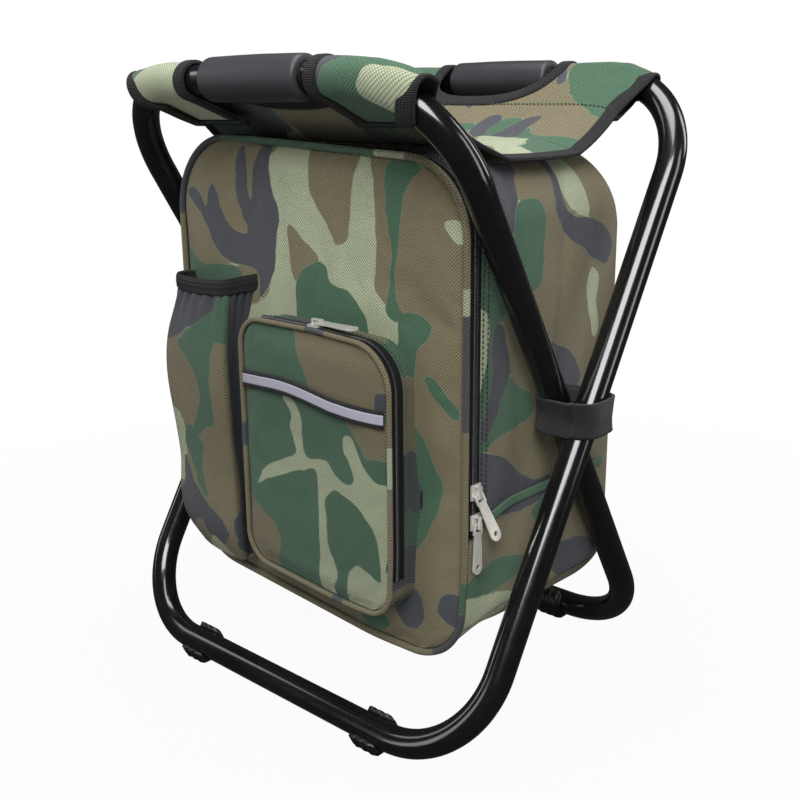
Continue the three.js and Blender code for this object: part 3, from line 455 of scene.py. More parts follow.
def read_shapes(table: str) -> tuple[Patch, ...]:
    """Printed shapes from a table: the name of an ink, then the places that its outline runs through.

    Args:
        table: Names and places (two numbers and a comma), parted by spaces or line ends.

    Returns:
        The shapes in order.
    """
    shapes = []
    for word in table.split():
        if "," in word:
            shapes[-1][1].append(tuple(map(float, word.split(","))))
        else:
            shapes.append((Tone(word), []))
    return tuple(Patch(tone, tuple(points)) for tone, points in shapes)


PANEL_PRINT = WoodlandPrint(KHAKI, read_shapes("""
brown -150,400 -36,398 -33,372 -27,350 -26,328 -30,303 -42,280 -90,270 -150,270
green -142,303 -126,308 -110,300 -86,301 -70,302 -62,296 -68,282 -142,270
dark -128,351 -116,354 -106,347 -101,341 -99,351 -94,357 -88,350 -83,337 -76,329 -66,325 -58,326 -62,338
    -68,352 -69,368 -66,384 -60,382 -57,368 -57,356 -54,348 -52,354 -51,366 -47,378 -40,387 -33,384 -32,368
    -28,354 -24,344 -24,334 -27,323 -28,309 -32,297 -38,287 -46,280 -44,292 -48,300 -60,303 -75,304 -87,309
    -96,318 -101,328 -108,337 -118,343
brown 7,392 46,392 46,362 44,345 41,329 31,325 22,338 12,350 7,362
brown -14,332 -7,332 7,321 15,312 7,303 -5,295 -11,303 -14,318
green -8,288 -4,300 4,308 14,312 22,308 25,299 38,297 49,291 57,281 60,268 54,252 20,250 -4,262
brown 62,396 63,366 65,345 67,320 65,301 74,290 83,282 87,270 94,258 98,230 96,150 80,122 40,112 -150,118
    -150,30 150,30 150,400
green 76,379 100,377 94,368 89,358 87,345 86,335 84,322 82,308 82,296 88,287 84,280 75,286 75,294 78,308
    79,322 77,338 74,352 73,366
green 85,284 95,287 105,285 111,280 108,272 102,266 100,254 97,238 88,232 84,250 86,268
green 107,250 116,248 123,238 131,230 128,224 118,232 110,242
khaki 121,345 130,346 135,336 130,332 123,339
green 96,216 107,208 112,196 118,176 114,156 106,140 96,132 92,170
dark 84,104 95,108 103,100 105,86 98,74 86,73 79,84 78,96
dark 121,106 130,107 136,98 133,86 124,84 116,94
khaki -120,72 -96,84 -80,76 -92,64
green 46,74 62,80 72,66 52,58
"""))

POCKET_PRINT = WoodlandPrint(GREEN, read_shapes("""
khaki 8,226 15,226 21,221 25,212 25,200 26,193 31,187 40,189 48,188 55,182 62,178 70,177 73,182 70,190
    63,198 62,205 66,210 71,209 76,199 82,191 90,184 102,178 102,150 97,128 93,117 92,135 88,150 80,160
    70,167 58,170 50,168 46,160 47,142 49,128 55,112 51,102 49,86 37,86 38,110 40,130 39,150 39,170 36,180
    25,177 10,172 -5,166 -15,161 -23,156 -20,163 -12,172 0,178 12,184 18,188 17,195 15,202 13,208 15,214
    11,220
khaki 64,84 65,112 69,120 76,123 85,119 92,116 102,126 102,84
brown 10,282 18,268 24,255 32,243 42,232 104,234 104,282
dark 91,241 100,240 100,231 91,230
brown 68,222 104,222 104,202 86,198 78,204 72,212
brown -44,143 -20,139 -5,130 -1,118 -6,104 -14,86 -44,86
"""))

BAND_PRINT = WoodlandPrint(GREEN, read_shapes("""
brown 350,-122 340,-75 304,-75 300,-96 312,-122
dark 302,-122 292,-75 254,-75 262,-96 258,-122
dark 238,-122 232,-75 204,-75 198,-122
brown 206,-122 204,-75 170,-75 170,-122
"""))

# The last dark shape covers the cup's right part and its pleat: partly the print's dark ink and partly
# painted shade for the deep recess next to the zipped pocket.
BOTTLE_PRINT = WoodlandPrint(BROWN, read_shapes("""
dark -150,300 -62,296 -74,272 -88,261 -103,254 -116,247 -150,240
green -64,290 -44,296 -40,240 -66,250 -69,220 -67,192 -80,185 -91,175 -98,180 -86,198 -82,215 -92,232
    -110,243 -100,253 -85,263 -73,273
khaki -130,192 -113,191 -108,176 -110,142 -121,137 -132,146 -124,165
green -106,180 -95,183 -85,170 -88,152 -80,133 -90,138 -100,155 -108,168
dark -110,158 -100,145 -90,135 -78,125 -65,118 -60,108 -70,96 -85,102 -90,112 -100,108 -110,97 -132,92
    -132,122 -113,135
khaki -92,84 -82,100 -72,96 -66,80
dark -58,320 20,320 20,60 -50,60 -52,170
"""))

RIGHT_SIDE_PRINT = WoodlandPrint(BROWN, read_shapes("""
dark -46,392 -16,392 -16,374 -25,362 -27,345 -33,333 -43,340 -46,360
green -27,352 -15,354 -4,352 1,340 -1,318 -4,300 -14,296 -26,300 -33,318 -31,340
dark 12,392 25,392 23,366 24,350 34,340 48,338 62,334 74,326 80,314 72,305 58,309 44,318 30,325 18,336
    12,348 16,366
khaki 26,390 38,376 46,362 50,340 36,342 26,350 23,364
khaki 58,303 64,296 62,280 66,260 60,254 56,270 51,288 54,300
dark 2,262 14,257 30,251 40,242 46,227 30,222 14,227 4,240
green -80,330 -50,332 -44,310 -40,290 -48,275 -42,258 -30,240 -12,228 -8,215 -28,208 -50,206 -62,200 -80,194
khaki -74,290 -64,291 -58,282 -60,262 -64,248 -70,232 -76,245
dark -52,280 -44,278 -38,262 -34,250 -38,240 -44,232 -50,220 -62,206 -67,214 -58,235 -54,250 -56,265
dark -68,197 -50,196 -36,188 -24,178 -8,168 14,166 8,156 -20,152 -45,154 -68,160
green -80,116 -52,126 -22,118 -24,108 -50,103 -80,104
khaki -90,103 -48,100 -30,92 -34,70 -90,70
dark 8,112 30,114 55,108 68,96 60,82 30,84 10,98
green -14,148 4,156 26,150 40,138 18,132 -6,138
"""))

FRONT_SLOPE_PRINT = WoodlandPrint(KHAKI, read_shapes("""
khaki -160,86 160,86 160,240 -160,240
green -146,88 -82,88 -82,98 -90,101 -94,104 -99,102 -103,106 -111,112 -113,120 -109,127 -103,132 -110,142
    -146,142
green 30,84 146,84 146,190 30,190
dark 36,86 94,88 93,99 85,104 76,111 71,119 69,126 60,150 36,150
khaki 146,104 117,107 108,109 102,115 99,122 100,128 108,132 117,137 146,142
"""), seed=311)

REAR_SLOPE_PRINT = WoodlandPrint(BROWN, read_shapes("""
brown 8,-34 160,-60 160,240 14,240 24,90 4,60 18,20
green 74,98 80,107 95,111 128,111 146,104 146,54 138,42 118,42 105,51 92,58 82,70 74,85
dark 52,122 62,118 67,100 71,88 75,78 70,74 64,86 58,100
green 46,32 56,34 66,32 60,18 56,4 50,4 44,18
dark 33,37 42,38 47,30 45,20 49,8 50,0 40,4 30,14 26,22 30,30
green 8,24 24,27 29,20 22,10 4,12
green 78,22 84,13 95,9 110,8 138,9 138,-14 105,-16 90,-30 84,-12 88,-2 76,2
dark 78,37 66,33 60,22 57,10 54,0 70,-2 79,3 77,20
khaki 46,3 75,3 92,-2 104,-22 112,-38 150,-40 150,-68 124,-73 106,-60 90,-67 76,-50 62,-54 50,-30 58,-12
green 96,-8 106,-22 113,-36 150,-39 150,9 100,9
"""), seed=353)

SLOPE_PRINTS = {End.FRONT: FRONT_SLOPE_PRINT, End.REAR: REAR_SLOPE_PRINT}


# Outlines and the bag's shape

@dataclass(frozen=True)
class RoundedOutline:
    """A rectangle in X and Z with a radius for each corner, clockwise from the top left."""

    left: float
    right: float
    bottom: float
    top: float
    radii: tuple[float, float, float, float]

    def inset(self, by: float) -> "RoundedOutline":
        """The outline drawn inwards by an even distance."""
        return RoundedOutline(self.left + by, self.right - by, self.bottom + by, self.top - by,
                              tuple(max(radius - by, 1.0) for radius in self.radii))

    def loop(self, line_steps: int, arc_steps: int) -> tuple[Array, Array]:
        """Points and outward normals once round, from the middle of the bottom edge towards the right.

        Straight runs are split evenly and each corner is an arc at even angles, so that two outlines with the
        same steps match point for point.
        """
        tl, tr, br, bl = self.radii
        corners = ((self.right - br, self.bottom + br, br, -0.5), (self.right - tr, self.top - tr, tr, 0.0),
                   (self.left + tl, self.top - tl, tl, 0.5), (self.left + bl, self.bottom + bl, bl, 1.0))
        middle = (self.left + self.right) / 2
        points, normals = [np.array([[middle, self.bottom]])], [np.array([[0.0, -1.0]])]
        for x, z, radius, turn in corners:
            angle = (turn + np.linspace(0, 0.5, arc_steps + 1)) * np.pi
            way = heading(angle)
            arc = np.array([x, z]) + radius * way
            line = np.linspace(points[-1][-1], arc[0], line_steps + 1)[1:-1]
            points += [line, arc]
            normals += [np.repeat(way[:1], len(line), 0), way]
        line = np.linspace(points[-1][-1], points[0][0], line_steps + 1)[1:-1]
        points.append(line)
        normals.append(np.repeat(normals[0], len(line), 0))
        return np.concatenate(points), np.concatenate(normals)

    def limits(self, z: Array) -> tuple[Array, Array]:
        """Left and right ends of the outline at each height."""
        tl, tr, br, bl = self.radii

        def pulled(radius_top: float, radius_bottom: float) -> Array:
            """How far one side's two corners draw it in."""
            high = np.clip(z - (self.top - radius_top), 0, radius_top)
            low = np.clip(self.bottom + radius_bottom - z, 0, radius_bottom)
            return (radius_top - np.sqrt(radius_top**2 - high**2)) + (
                radius_bottom - np.sqrt(radius_bottom**2 - low**2))

        return self.left + pulled(tl, bl), self.right - pulled(tr, br)

    def fill(self, columns: int, rows: int) -> tuple[Array, Array, Array]:
        """A grid over the outline's inside, with rows closer together at the round corners.

        Returns:
            X, Z and the distance to the outline at each grid point.
        """
        t = np.linspace(0, 1, rows)
        z = self.bottom + (self.top - self.bottom) * (0.45 * t + 0.55 * (1 - np.cos(np.pi * t)) / 2)
        low, high = self.limits(z)
        u = np.linspace(0, 1, columns)
        x = low[:, None] + (high - low)[:, None] * u
        z = np.repeat(z[:, None], columns, 1)
        sides = np.minimum(x - low[:, None], high[:, None] - x)
        edge = np.minimum(sides, np.minimum(z - self.bottom, self.top - z))
        return x, z, np.maximum(edge, 0)


BAG = RoundedOutline(-136, 136, 59, 386, (58, 46, 42, 42))
POCKET = RoundedOutline(-38, 101, 92, 273, (20, 28, 20, 20))
ZIP_END = 146.0
ZIP_END_SKEW = 0.066
SEAM = 0.6


def above_zip_ends(points: Array) -> Array:
    """True for rows of X and Z above the slanting line through the two ends of the main zip."""
    return points[:, 1] > ZIP_END + ZIP_END_SKEW * points[:, 0]


def hang(points: Array, level_x: float = 0.0) -> Array:
    """The loaded bag hangs lower on its right: Z falls in step with X. The lower right corner is tucked in.

    The slope grows from the bag's top to its foot, is full at the front face and fades out under the seat.
    A piece that keeps its height away from the bag's middle also stays level to the left of there at its top.

    Args:
        points: Places, in any shape that ends in 3.
        level_x: The X that keeps its height.

    Returns:
        The moved places.
    """
    x, y, z = np.moveaxis(points, -1, 0)
    low = np.clip((BAG.top - z) / (BAG.top - BAG.bottom), 0, 1)
    front = 1 - 0.85 * smooth((y + 76) / 44)
    slope = (0.048 + 0.030 * low) * front
    if level_x:
        slope = slope * np.where(x < level_x, smooth((low - 0.38) / 0.35), 1)
    corner = 6.0 * smooth((x - 45) / 75) * smooth((150 - z) / 80) * (1 - smooth((y + 70) / 60))
    return joined(x - 0.5 * corner, y, z + 0.87 * corner - slope * (x - level_x))


# Finishes

def ink(red: int, green: int, blue: int) -> Colour:
    """A screen colour as linear light."""
    screen = np.array([red, green, blue]) / 255
    linear = np.where(screen <= 0.04045, screen / 12.92, ((screen + 0.055) / 1.055) ** 2.4)
    return (*linear.tolist(), 1.0)


class NodeBench:
    """Adds and wires the nodes of one shader tree."""

    def __init__(self, tree: bpy.types.NodeTree) -> None:
        """Keep the tree."""
        self.tree = tree

    def feed(self, node: Node, inputs: dict) -> None:
        """Set or wire a node's inputs, which go by name or number."""
        for key, value in inputs.items():
            if isinstance(value, Socket):
                self.tree.links.new(value, node.inputs[key])
            else:
                node.inputs[key].default_value = value

    def add(self, kind: str, inputs: Optional[dict] = None, **settings: object) -> Node:
        """Add a node, set its properties, and set or wire its inputs.

        Args:
            kind: The node's type, without the prefix ShaderNode.
            inputs: Values or sockets by input name or number.
            settings: Properties of the node.

        Returns:
            The node.
        """
        node = self.tree.nodes.new(f"ShaderNode{kind}")
        for key, value in settings.items():
            setattr(node, key, value)
        self.feed(node, inputs or {})
        return node

    def math(self, operation: str, *values: object) -> Socket:
        """The result of one Math node."""
        return self.add("Math", dict(enumerate(values)), operation=operation).outputs[0]

    def weighed(self, first: object, weight: object, second: object,
                other_weight: object) -> Socket:
        """The sum of two values, each times its own weight."""
        parts = self.math("MULTIPLY", first, weight), self.math("MULTIPLY", second, other_weight)
        return self.math("ADD", *parts)

    def blend(self, share: object, first: object, second: object, mode: str = "MIX") -> Socket:
        """The result of one colour Mix node."""
        inputs = {0: share, 6: first, 7: second}
        return self.add("Mix", inputs, data_type="RGBA", blend_type=mode).outputs[2]

    def span(self, value: object, low: float, high: float, to_low: float = 0.0,
             to_high: float = 1.0) -> Socket:
        """A value mapped from one range to another, held at its ends."""
        ends = {"From Min": low, "From Max": high, "To Min": to_low, "To Max": to_high}
        return self.add("MapRange", {"Value": value, **ends}).outputs[0]


def shader_group(name: str, inputs: Iterable[tuple[str, str, object]], outputs: Iterable[tuple[str, str]],
                 wire: Callable[[NodeBench, Node], dict[str, Socket]]
                 ) -> bpy.types.NodeTree:
    """Make a node group with named sockets.

    Args:
        name: The group's name.
        inputs: Name, socket type and default value of each input.
        outputs: Name and socket type of each output.
        wire: Builds the inside from the group's input node and gives a socket for each output.

    Returns:
        The group.
    """
    tree = bpy.data.node_groups.new(name, "ShaderNodeTree")
    for label, kind, value in inputs:
        tree.interface.new_socket(label, in_out="INPUT", socket_type=kind).default_value = value
    for label, kind in outputs:
        tree.interface.new_socket(label, in_out="OUTPUT", socket_type=kind)
    bench = NodeBench(tree)
    source = tree.nodes.new("NodeGroupInput")
    sink = tree.nodes.new("NodeGroupOutput")
    bench.feed(sink, wire(bench, source))
    return tree


def wire_print(bench: NodeBench, source: Node) -> dict[str, Socket]:
    """Lay the inks over the khaki, each where its field on the mesh is above zero, with a slight blur."""
    blur = 0.35
    colour = source.outputs["Khaki"]
    for tone in OVERPRINT:
        depth = bench.add("Attribute", attribute_name=tone.value).outputs["Fac"]
        colour = bench.blend(bench.span(depth, -blur, blur), colour, source.outputs[tone.value.title()])
    return {"Color": colour}


def wire_weave(bench: NodeBench, source: Node) -> dict[str, Socket]:
    """Yarns as two crossed sine waves of the cloth's flat places, the second breaking up the first.

    Height is the first wave lifted by a share of the second. Tint is a light and dark value for the yarns,
    the height with some coarse noise.
    """
    place = bench.add("UVMap", uv_map="cloth").outputs[0]
    across, along, _ = bench.add("SeparateXYZ", {0: place}).outputs
    waves = []
    for label in ("Rib", "Break"):
        counts = source.outputs[f"{label} across"], source.outputs[f"{label} along"]
        turns = bench.weighed(across, counts[0], along, counts[1])
        waves.append(bench.math("SINE", bench.math("MULTIPLY", turns, 2 * np.pi)))
    height = bench.weighed(waves[0], 0.5, bench.math("ADD", waves[1], 1.0), 0.35)
    coarse = bench.add("TexNoise", {"Scale": 900.0, "Detail": 1.0, "Vector": place})
    tint = bench.weighed(height, 0.7, coarse.outputs[0], 0.6)
    return {"Height": height, "Tint": bench.span(tint, -0.2, 1.2)}


def wire_mottle(bench: NodeBench, source: Node) -> dict[str, Socket]:
    """Slow uneven light and dark over a surface from handling and dust, from two sizes of noise."""
    place = bench.add("TexCoord").outputs["Object"]
    scale = source.outputs["Scale"]
    finer = bench.math("MULTIPLY", scale, 9.0)
    slow = bench.add("TexNoise", {"Vector": place, "Scale": scale, "Detail": 3.0})
    fine = bench.add("TexNoise", {"Vector": place, "Scale": finer, "Detail": 2.0})
    mixed = bench.weighed(slow.outputs[0], 0.65, fine.outputs[0], 0.35)
    return {"Mask": bench.span(mixed, 0.3, 0.7)}


FLOAT, COLOUR = "NodeSocketFloat", "NodeSocketColor"
WOODLAND_GROUP = shader_group("woodland_print", [
    ("Khaki", COLOUR, ink(141, 148, 122)), ("Brown", COLOUR, ink(101, 94, 71)),
    ("Green", COLOUR, ink(56, 86, 65)), ("Dark", COLOUR, ink(58, 60, 66))],
    [("Color", COLOUR)], wire_print)
WEAVE_GROUP = shader_group("woven_yarn", [
    ("Rib across", FLOAT, 700.0), ("Rib along", FLOAT, 700.0), ("Break across", FLOAT, 700.0),
    ("Break along", FLOAT, -700.0)], [("Height", FLOAT), ("Tint", FLOAT)], wire_weave)
MOTTLE_GROUP = shader_group("handled_mottle", [("Scale", FLOAT, 12.0)], [("Mask", FLOAT)], wire_mottle)


@dataclass(frozen=True)
class Finish:
    """A surface finish: makes its material once and dresses pieces in it."""

    name: str
    slot: str

    def shader(self, bench: NodeBench, surface: Node) -> None:
        """Wire the material's nodes into its Principled shader."""
        raise NotImplementedError

    def material(self) -> bpy.types.Material:
        """The finish's material, made the first time that it is asked for."""
        title = f"{self.name}_finish"
        found = bpy.data.materials.get(title)
        if found is None:
            found = bpy.data.materials.new(title)
            found.use_nodes = True
            self.shader(NodeBench(found.node_tree), found.node_tree.nodes["Principled BSDF"])
        return found

    def dress(self, piece: Piece, *nodes: str) -> Piece:
        """Put the finish on a piece, and hide the solids that it stands for, if any."""
        piece.data.materials.clear()
        piece.data.materials.append(self.material())
        if nodes:
            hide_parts(*nodes)
        return piece


@dataclass(frozen=True)
class ClothFinish(Finish):
    """Woven cloth or tape: a colour or the woodland print, shaded by its yarns and by handling, and scaled by
    a painted light and shade factor.

    The ribs are the waves for each metre across and along the cloth, of the first yarns and of the second.
    """

    colour: Optional[Colour] = None
    ribs: tuple[float, float, float, float] = (440.0, 440.0, 440.0, -440.0)
    relief: float = 0.5
    roughness: float = 0.82
    sheen: float = 0.08
    contrast: float = 0.6
    # Painted light and shade: scales the cloth's colour in place of lamp light, lighter above 1 and darker
    # below 1.
    shade: float = 1.0

    def shader(self, bench: NodeBench, surface: Node) -> None:
        """Print or colour, darkened between the yarns, mottled by handling and scaled by the painted light
        and shade factor, with the yarns' relief as bump.
        """
        keys = ("Rib across", "Rib along", "Break across", "Break along")
        weave = bench.add("Group", dict(zip(keys, self.ribs)), node_tree=WEAVE_GROUP)
        mask = bench.add("Group", node_tree=MOTTLE_GROUP).outputs["Mask"]
        if self.colour is None:
            base = bench.add("Group", node_tree=WOODLAND_GROUP).outputs["Color"]
        else:
            base = bench.add("RGB").outputs[0]
            base.default_value = self.colour
        yarn = bench.span(weave.outputs["Tint"], 0, 1, 1 - self.contrast, 1 + self.contrast * 0.6)
        # Handling mottle times the painted light and shade scale.
        wear_and_painted_light = bench.span(mask, 0, 1, 0.93 * self.shade, 1.06 * self.shade)
        shading = {0: base, "Scale": bench.math("MULTIPLY", yarn, wear_and_painted_light)}
        height = weave.outputs["Height"]
        bump = bench.add("Bump", {"Strength": self.relief, "Distance": 0.0006, "Height": height})
        bench.feed(surface, {
            "Base Color": bench.add("VectorMath", shading, operation="SCALE").outputs[0],
            "Normal": bump.outputs[0],
            "Roughness": bench.span(mask, 0, 1, self.roughness - 0.06, self.roughness + 0.06),
            "Sheen Weight": self.sheen, "Sheen Roughness": 0.6, "Specular IOR Level": 0.25})


@dataclass(frozen=True)
class HardFinish(Finish):
    """Metal, paint, rubber or plastic: a colour with uneven gloss and a fine surface grain."""

    colour: Colour
    metallic: float = 0.0
    roughness: tuple[float, float] = (0.2, 0.3)
    grain: float = 400.0
    relief: float = 0.05
    coat: float = 0.0
    specular: float = 0.5

    def shader(self, bench: NodeBench, surface: Node) -> None:
        """Colour shifted a little by handling, gloss that follows it, and noise grain as bump."""
        mask = bench.add("Group", {"Scale": 14.0}, node_tree=MOTTLE_GROUP).outputs["Mask"]
        place = bench.add("TexCoord").outputs["Object"]
        grain = bench.add("TexNoise", {"Vector": place, "Scale": self.grain, "Detail": 2.0}).outputs[0]
        lighter = tuple(min(1.0, part * 1.25 + 0.002) for part in self.colour[:3]) + (1.0,)
        bump = bench.add("Bump", {"Strength": self.relief, "Distance": 0.0004, "Height": grain})
        bench.feed(surface, {
            "Base Color": bench.blend(mask, self.colour, lighter), "Normal": bump.outputs[0],
            "Roughness": bench.span(mask, 0, 1, *self.roughness), "Metallic": self.metallic,
            "Specular IOR Level": self.specular, "Coat Weight": self.coat, "Coat Roughness": 0.04})


# Two copies of one printed twill: the main cloth lightened a little by painted light, and the pockets' copy
# darkened by painted shade.
CAMO = ClothFinish("camo_twill", "camo_cloth", shade=1.06)
SHADED_POCKET_CAMO = ClothFinish("pocket_twill_painted_shade", "camo_cloth", shade=0.8)
BINDING = ClothFinish("black_binding", "black_webbing", ink(20, 20, 21), (0.0, 850.0, 420.0, 0.0), relief=0.9,
                      roughness=0.85, sheen=0.05)
WEBBING = ClothFinish("black_webbing", "black_webbing", ink(22, 22, 24), (450.0, 450.0, 450.0, -450.0),
                      relief=0.8, roughness=0.9, sheen=0.1)
ZIP_TAPE = ClothFinish("black_zip_tape", "black_webbing", ink(12, 12, 13), (0.0, 1100.0, 1100.0, 0.0),
                       relief=0.4, roughness=0.85, sheen=0.0)
ZIP_COIL = HardFinish("black_zip_coil", "black_webbing", ink(17, 17, 18), roughness=(0.36, 0.46), grain=900)
THREAD_RIBS = (2500.0, 1500.0, 0.0, 0.0)
THREAD = ClothFinish("green_thread", "camo_piping", ink(54, 84, 60), THREAD_RIBS, relief=0.3, roughness=0.7)
BLACK_THREAD = ClothFinish("black_thread", "black_webbing", ink(20, 20, 22), THREAD_RIBS, relief=0.3,
                           roughness=0.7)
PIPING = ClothFinish("braided_piping", "camo_piping", None, (330.0, 520.0, -330.0, 520.0), relief=0.9,
                     roughness=0.8, sheen=0.1, contrast=0.45)
FOIL = HardFinish("foil_liner", "foil_liner", ink(205, 208, 212), metallic=0.75, roughness=(0.28, 0.42),
                  grain=140, relief=0.35)
TUBE_BLACK = HardFinish("gloss_black_tube", "black_tube", ink(9, 9, 10), roughness=(0.15, 0.22), grain=260,
                        relief=0.02, coat=0.4)
GRIP_VINYL = HardFinish("grey_grip", "grip", ink(40, 40, 44), roughness=(0.42, 0.52), grain=1300, relief=0.15,
                        specular=0.4)
FOOT_PLASTIC = HardFinish("black_foot", "foot_plastic", ink(18, 18, 19), roughness=(0.34, 0.48), grain=800,
                          relief=0.15)
NICKEL = HardFinish("nickel", "nickel", ink(222, 219, 212), metallic=0.62, roughness=(0.2, 0.27), grain=300,
                    relief=0.01)
ZINC = HardFinish("zinc", "zinc", ink(172, 173, 172), metallic=1.0, roughness=(0.3, 0.45), grain=350,
                  relief=0.1)
REFLECTIVE = ClothFinish("reflective_tape", "reflective_tape", ink(146, 146, 158), (1500.0, 0.0, 0.0, 1500.0),
                         relief=0.2, roughness=0.65, sheen=0.0, contrast=0.08)


def report(piece: Piece) -> Piece:
    """Log a finished piece."""
    LOG.info("%s: %d faces", piece.name, len(piece.data.polygons))
    return piece


def mount(body: str, pieces: Iterable[Piece]) -> None:
    """Log finished pieces and let them ride on a body."""
    for piece in pieces:
        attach(report(piece), body)


# The scissor frame

@dataclass
class FrameLoop:
    """One bent tube loop with its grip and its feet.

    The loop lies in a plane through the pivot line that leans to the top bar's end.
    """

    end: End
    half_width: float
    lean: float = np.radians(30.5)
    pivot_z: float = 217.068
    above: float = 244.0
    below: float = 238.0
    top_bend: float = 72.0
    foot_bend: float = 66.0
    tube: float = 9.5
    grip_length: float = 90.0
    grip_off_middle: float = 6.0
    grip_radius: float = 14.0
    grip_rounding: float = 3.2
    foot_length: float = 24.0
    foot_wall: float = 3.1
    foot_pad: float = 2.5

    @property
    def body(self) -> str:
        """The body that the loop's pieces ride on."""
        return f"{self.end.word}_frame"

    @property
    def rise(self) -> Array:
        """Direction up the legs."""
        return np.array([0.0, self.end.value * np.sin(self.lean), np.cos(self.lean)])

    @property
    def across(self) -> Array:
        """Direction square to the loop's plane, towards its own end."""
        return np.array([0.0, self.end.value * np.cos(self.lean), -np.sin(self.lean)])

    def place(self, flat: Array) -> Array:
        """Points of the loop's plane (x, height along the leg) in the frame."""
        return self.pivot_z * Z_AXIS + flat[..., :1] * X_AXIS + flat[..., 1:] * self.rise

    def outline(self) -> RoundedOutline:
        """The centre line of the loop in its own plane."""
        radii = (self.top_bend, self.top_bend, self.foot_bend, self.foot_bend)
        return RoundedOutline(-self.half_width, self.half_width, -self.below, self.above, radii)

    def build_tube(self) -> Piece:
        """The tube: a circle carried once round the loop's rounded outline."""
        points, normals = self.outline().loop(24, 28)
        side = normals[:, :1] * X_AXIS + normals[:, 1:] * self.rise
        grid = sweep(self.place(points), side, self.across, ring_profile(self.tube, 32))
        flip = self.end is End.FRONT
        return build_surface(f"{self.end.word}_tube_loop", grid, wrap_u=True, wrap_v=True, flip=flip)

    def build_grip(self) -> Piece:
        """The grip: a circle along the top bar whose radius rounds off at both ends."""
        t = np.linspace(-1, 1, 41)
        t = np.sign(t) * (1 - (1 - np.abs(t)) ** 1.8)
        x = t * self.grip_length / 2
        rounding = self.grip_rounding
        bore = [self.tube + 0.1]
        end = np.clip((np.abs(x) - (self.grip_length / 2 - rounding)) / rounding, 0, 1)
        radius = self.grip_radius - rounding * arc_drop(end) + 0.25 * np.cos(x / 17)
        radius = np.concatenate([bore, radius, bore])
        x = np.concatenate([x[:1], x, x[-1:]])
        path = self.place(joined(x + self.grip_off_middle, self.above))
        profile = ring_profile(1.0, 40)[None] * radius[:, None, None]
        grid = sweep(path, self.rise, self.across, profile)
        return build_surface(f"{self.end.word}_grip_sleeve", grid, wrap_v=True, flip=self.end is End.FRONT)

    def build_foot(self, side: Side) -> Piece:
        """A clip foot: its open section carried along the bar, with raised ribs and round lips.

        The section runs round the bore from one lip to the other and back round the outside, which is drawn
        out to a flat pad below. Ribs lift the outside by a row of soft square waves. The lips turn back by a
        rising power of the way to the clip's ends.
        """
        foot_end = End(-self.end.value)
        name = f"{foot_end.word}_foot_{side.word}"
        x_middle = side.value * (self.half_width - self.foot_bend - self.foot_length / 2 - 1)
        y_middle = foot_end.value * self.below * np.sin(self.lean)
        z_middle = self.tube + self.foot_pad
        bore, outer = self.tube + 0.15, self.tube + self.foot_wall
        x = np.linspace(-self.foot_length / 2, self.foot_length / 2, 49)
        back = (1 - np.sqrt(1 - 0.98 * np.abs(2 * x / self.foot_length) ** 5))[:, None]
        high, low = 64 - 50 * back, -172 + 18 * back
        bore_turn = np.radians(high + (low - high) * np.linspace(0, 1, 26))
        low_turn = np.radians(low + (-148 - low) * np.linspace(0, 1, 5))
        high_turn = np.radians(-30 + (high + 30) * np.linspace(0, 1, 14))
        inner, near, far = (size * heading(turn) for size, turn in
                            ((bore, bore_turn), (outer, low_turn), (outer, high_turn)))
        pad = joined(np.linspace(-8, 8, 5), -z_middle)
        outside = np.concatenate([near, np.broadcast_to(pad, (len(x),) + pad.shape), far], 1)
        rib = 0.8 * smooth(np.sin(x / self.foot_length * 2 * np.pi * 3.5 + np.pi / 2) * 2.2 + 0.3)
        lifted = outside * (1 + (rib[:, None] - 1.2 * back) / outer)[..., None]
        lifted[..., 1] = np.maximum(lifted[..., 1], -z_middle)
        profile = np.concatenate([inner, lifted], 1)
        profile[..., 0] *= -foot_end.value
        grid = sweep(joined(x + x_middle, y_middle, z_middle), Y_AXIS, Z_AXIS, profile)
        foot = build_surface(f"{name}_clip", grid, wrap_v=True, caps=True, flip=foot_end is End.FRONT)
        return FOOT_PLASTIC.dress(foot, name)

    def build(self) -> None:
        """Make and place every piece of the loop."""
        tube = TUBE_BLACK.dress(self.build_tube(), f"{self.end.word}_frame_tube")
        grip = GRIP_VINYL.dress(self.build_grip(), f"{self.end.word}_grip")
        mount(self.body, [tube, grip, *map(self.build_foot, Side)])


# The seat

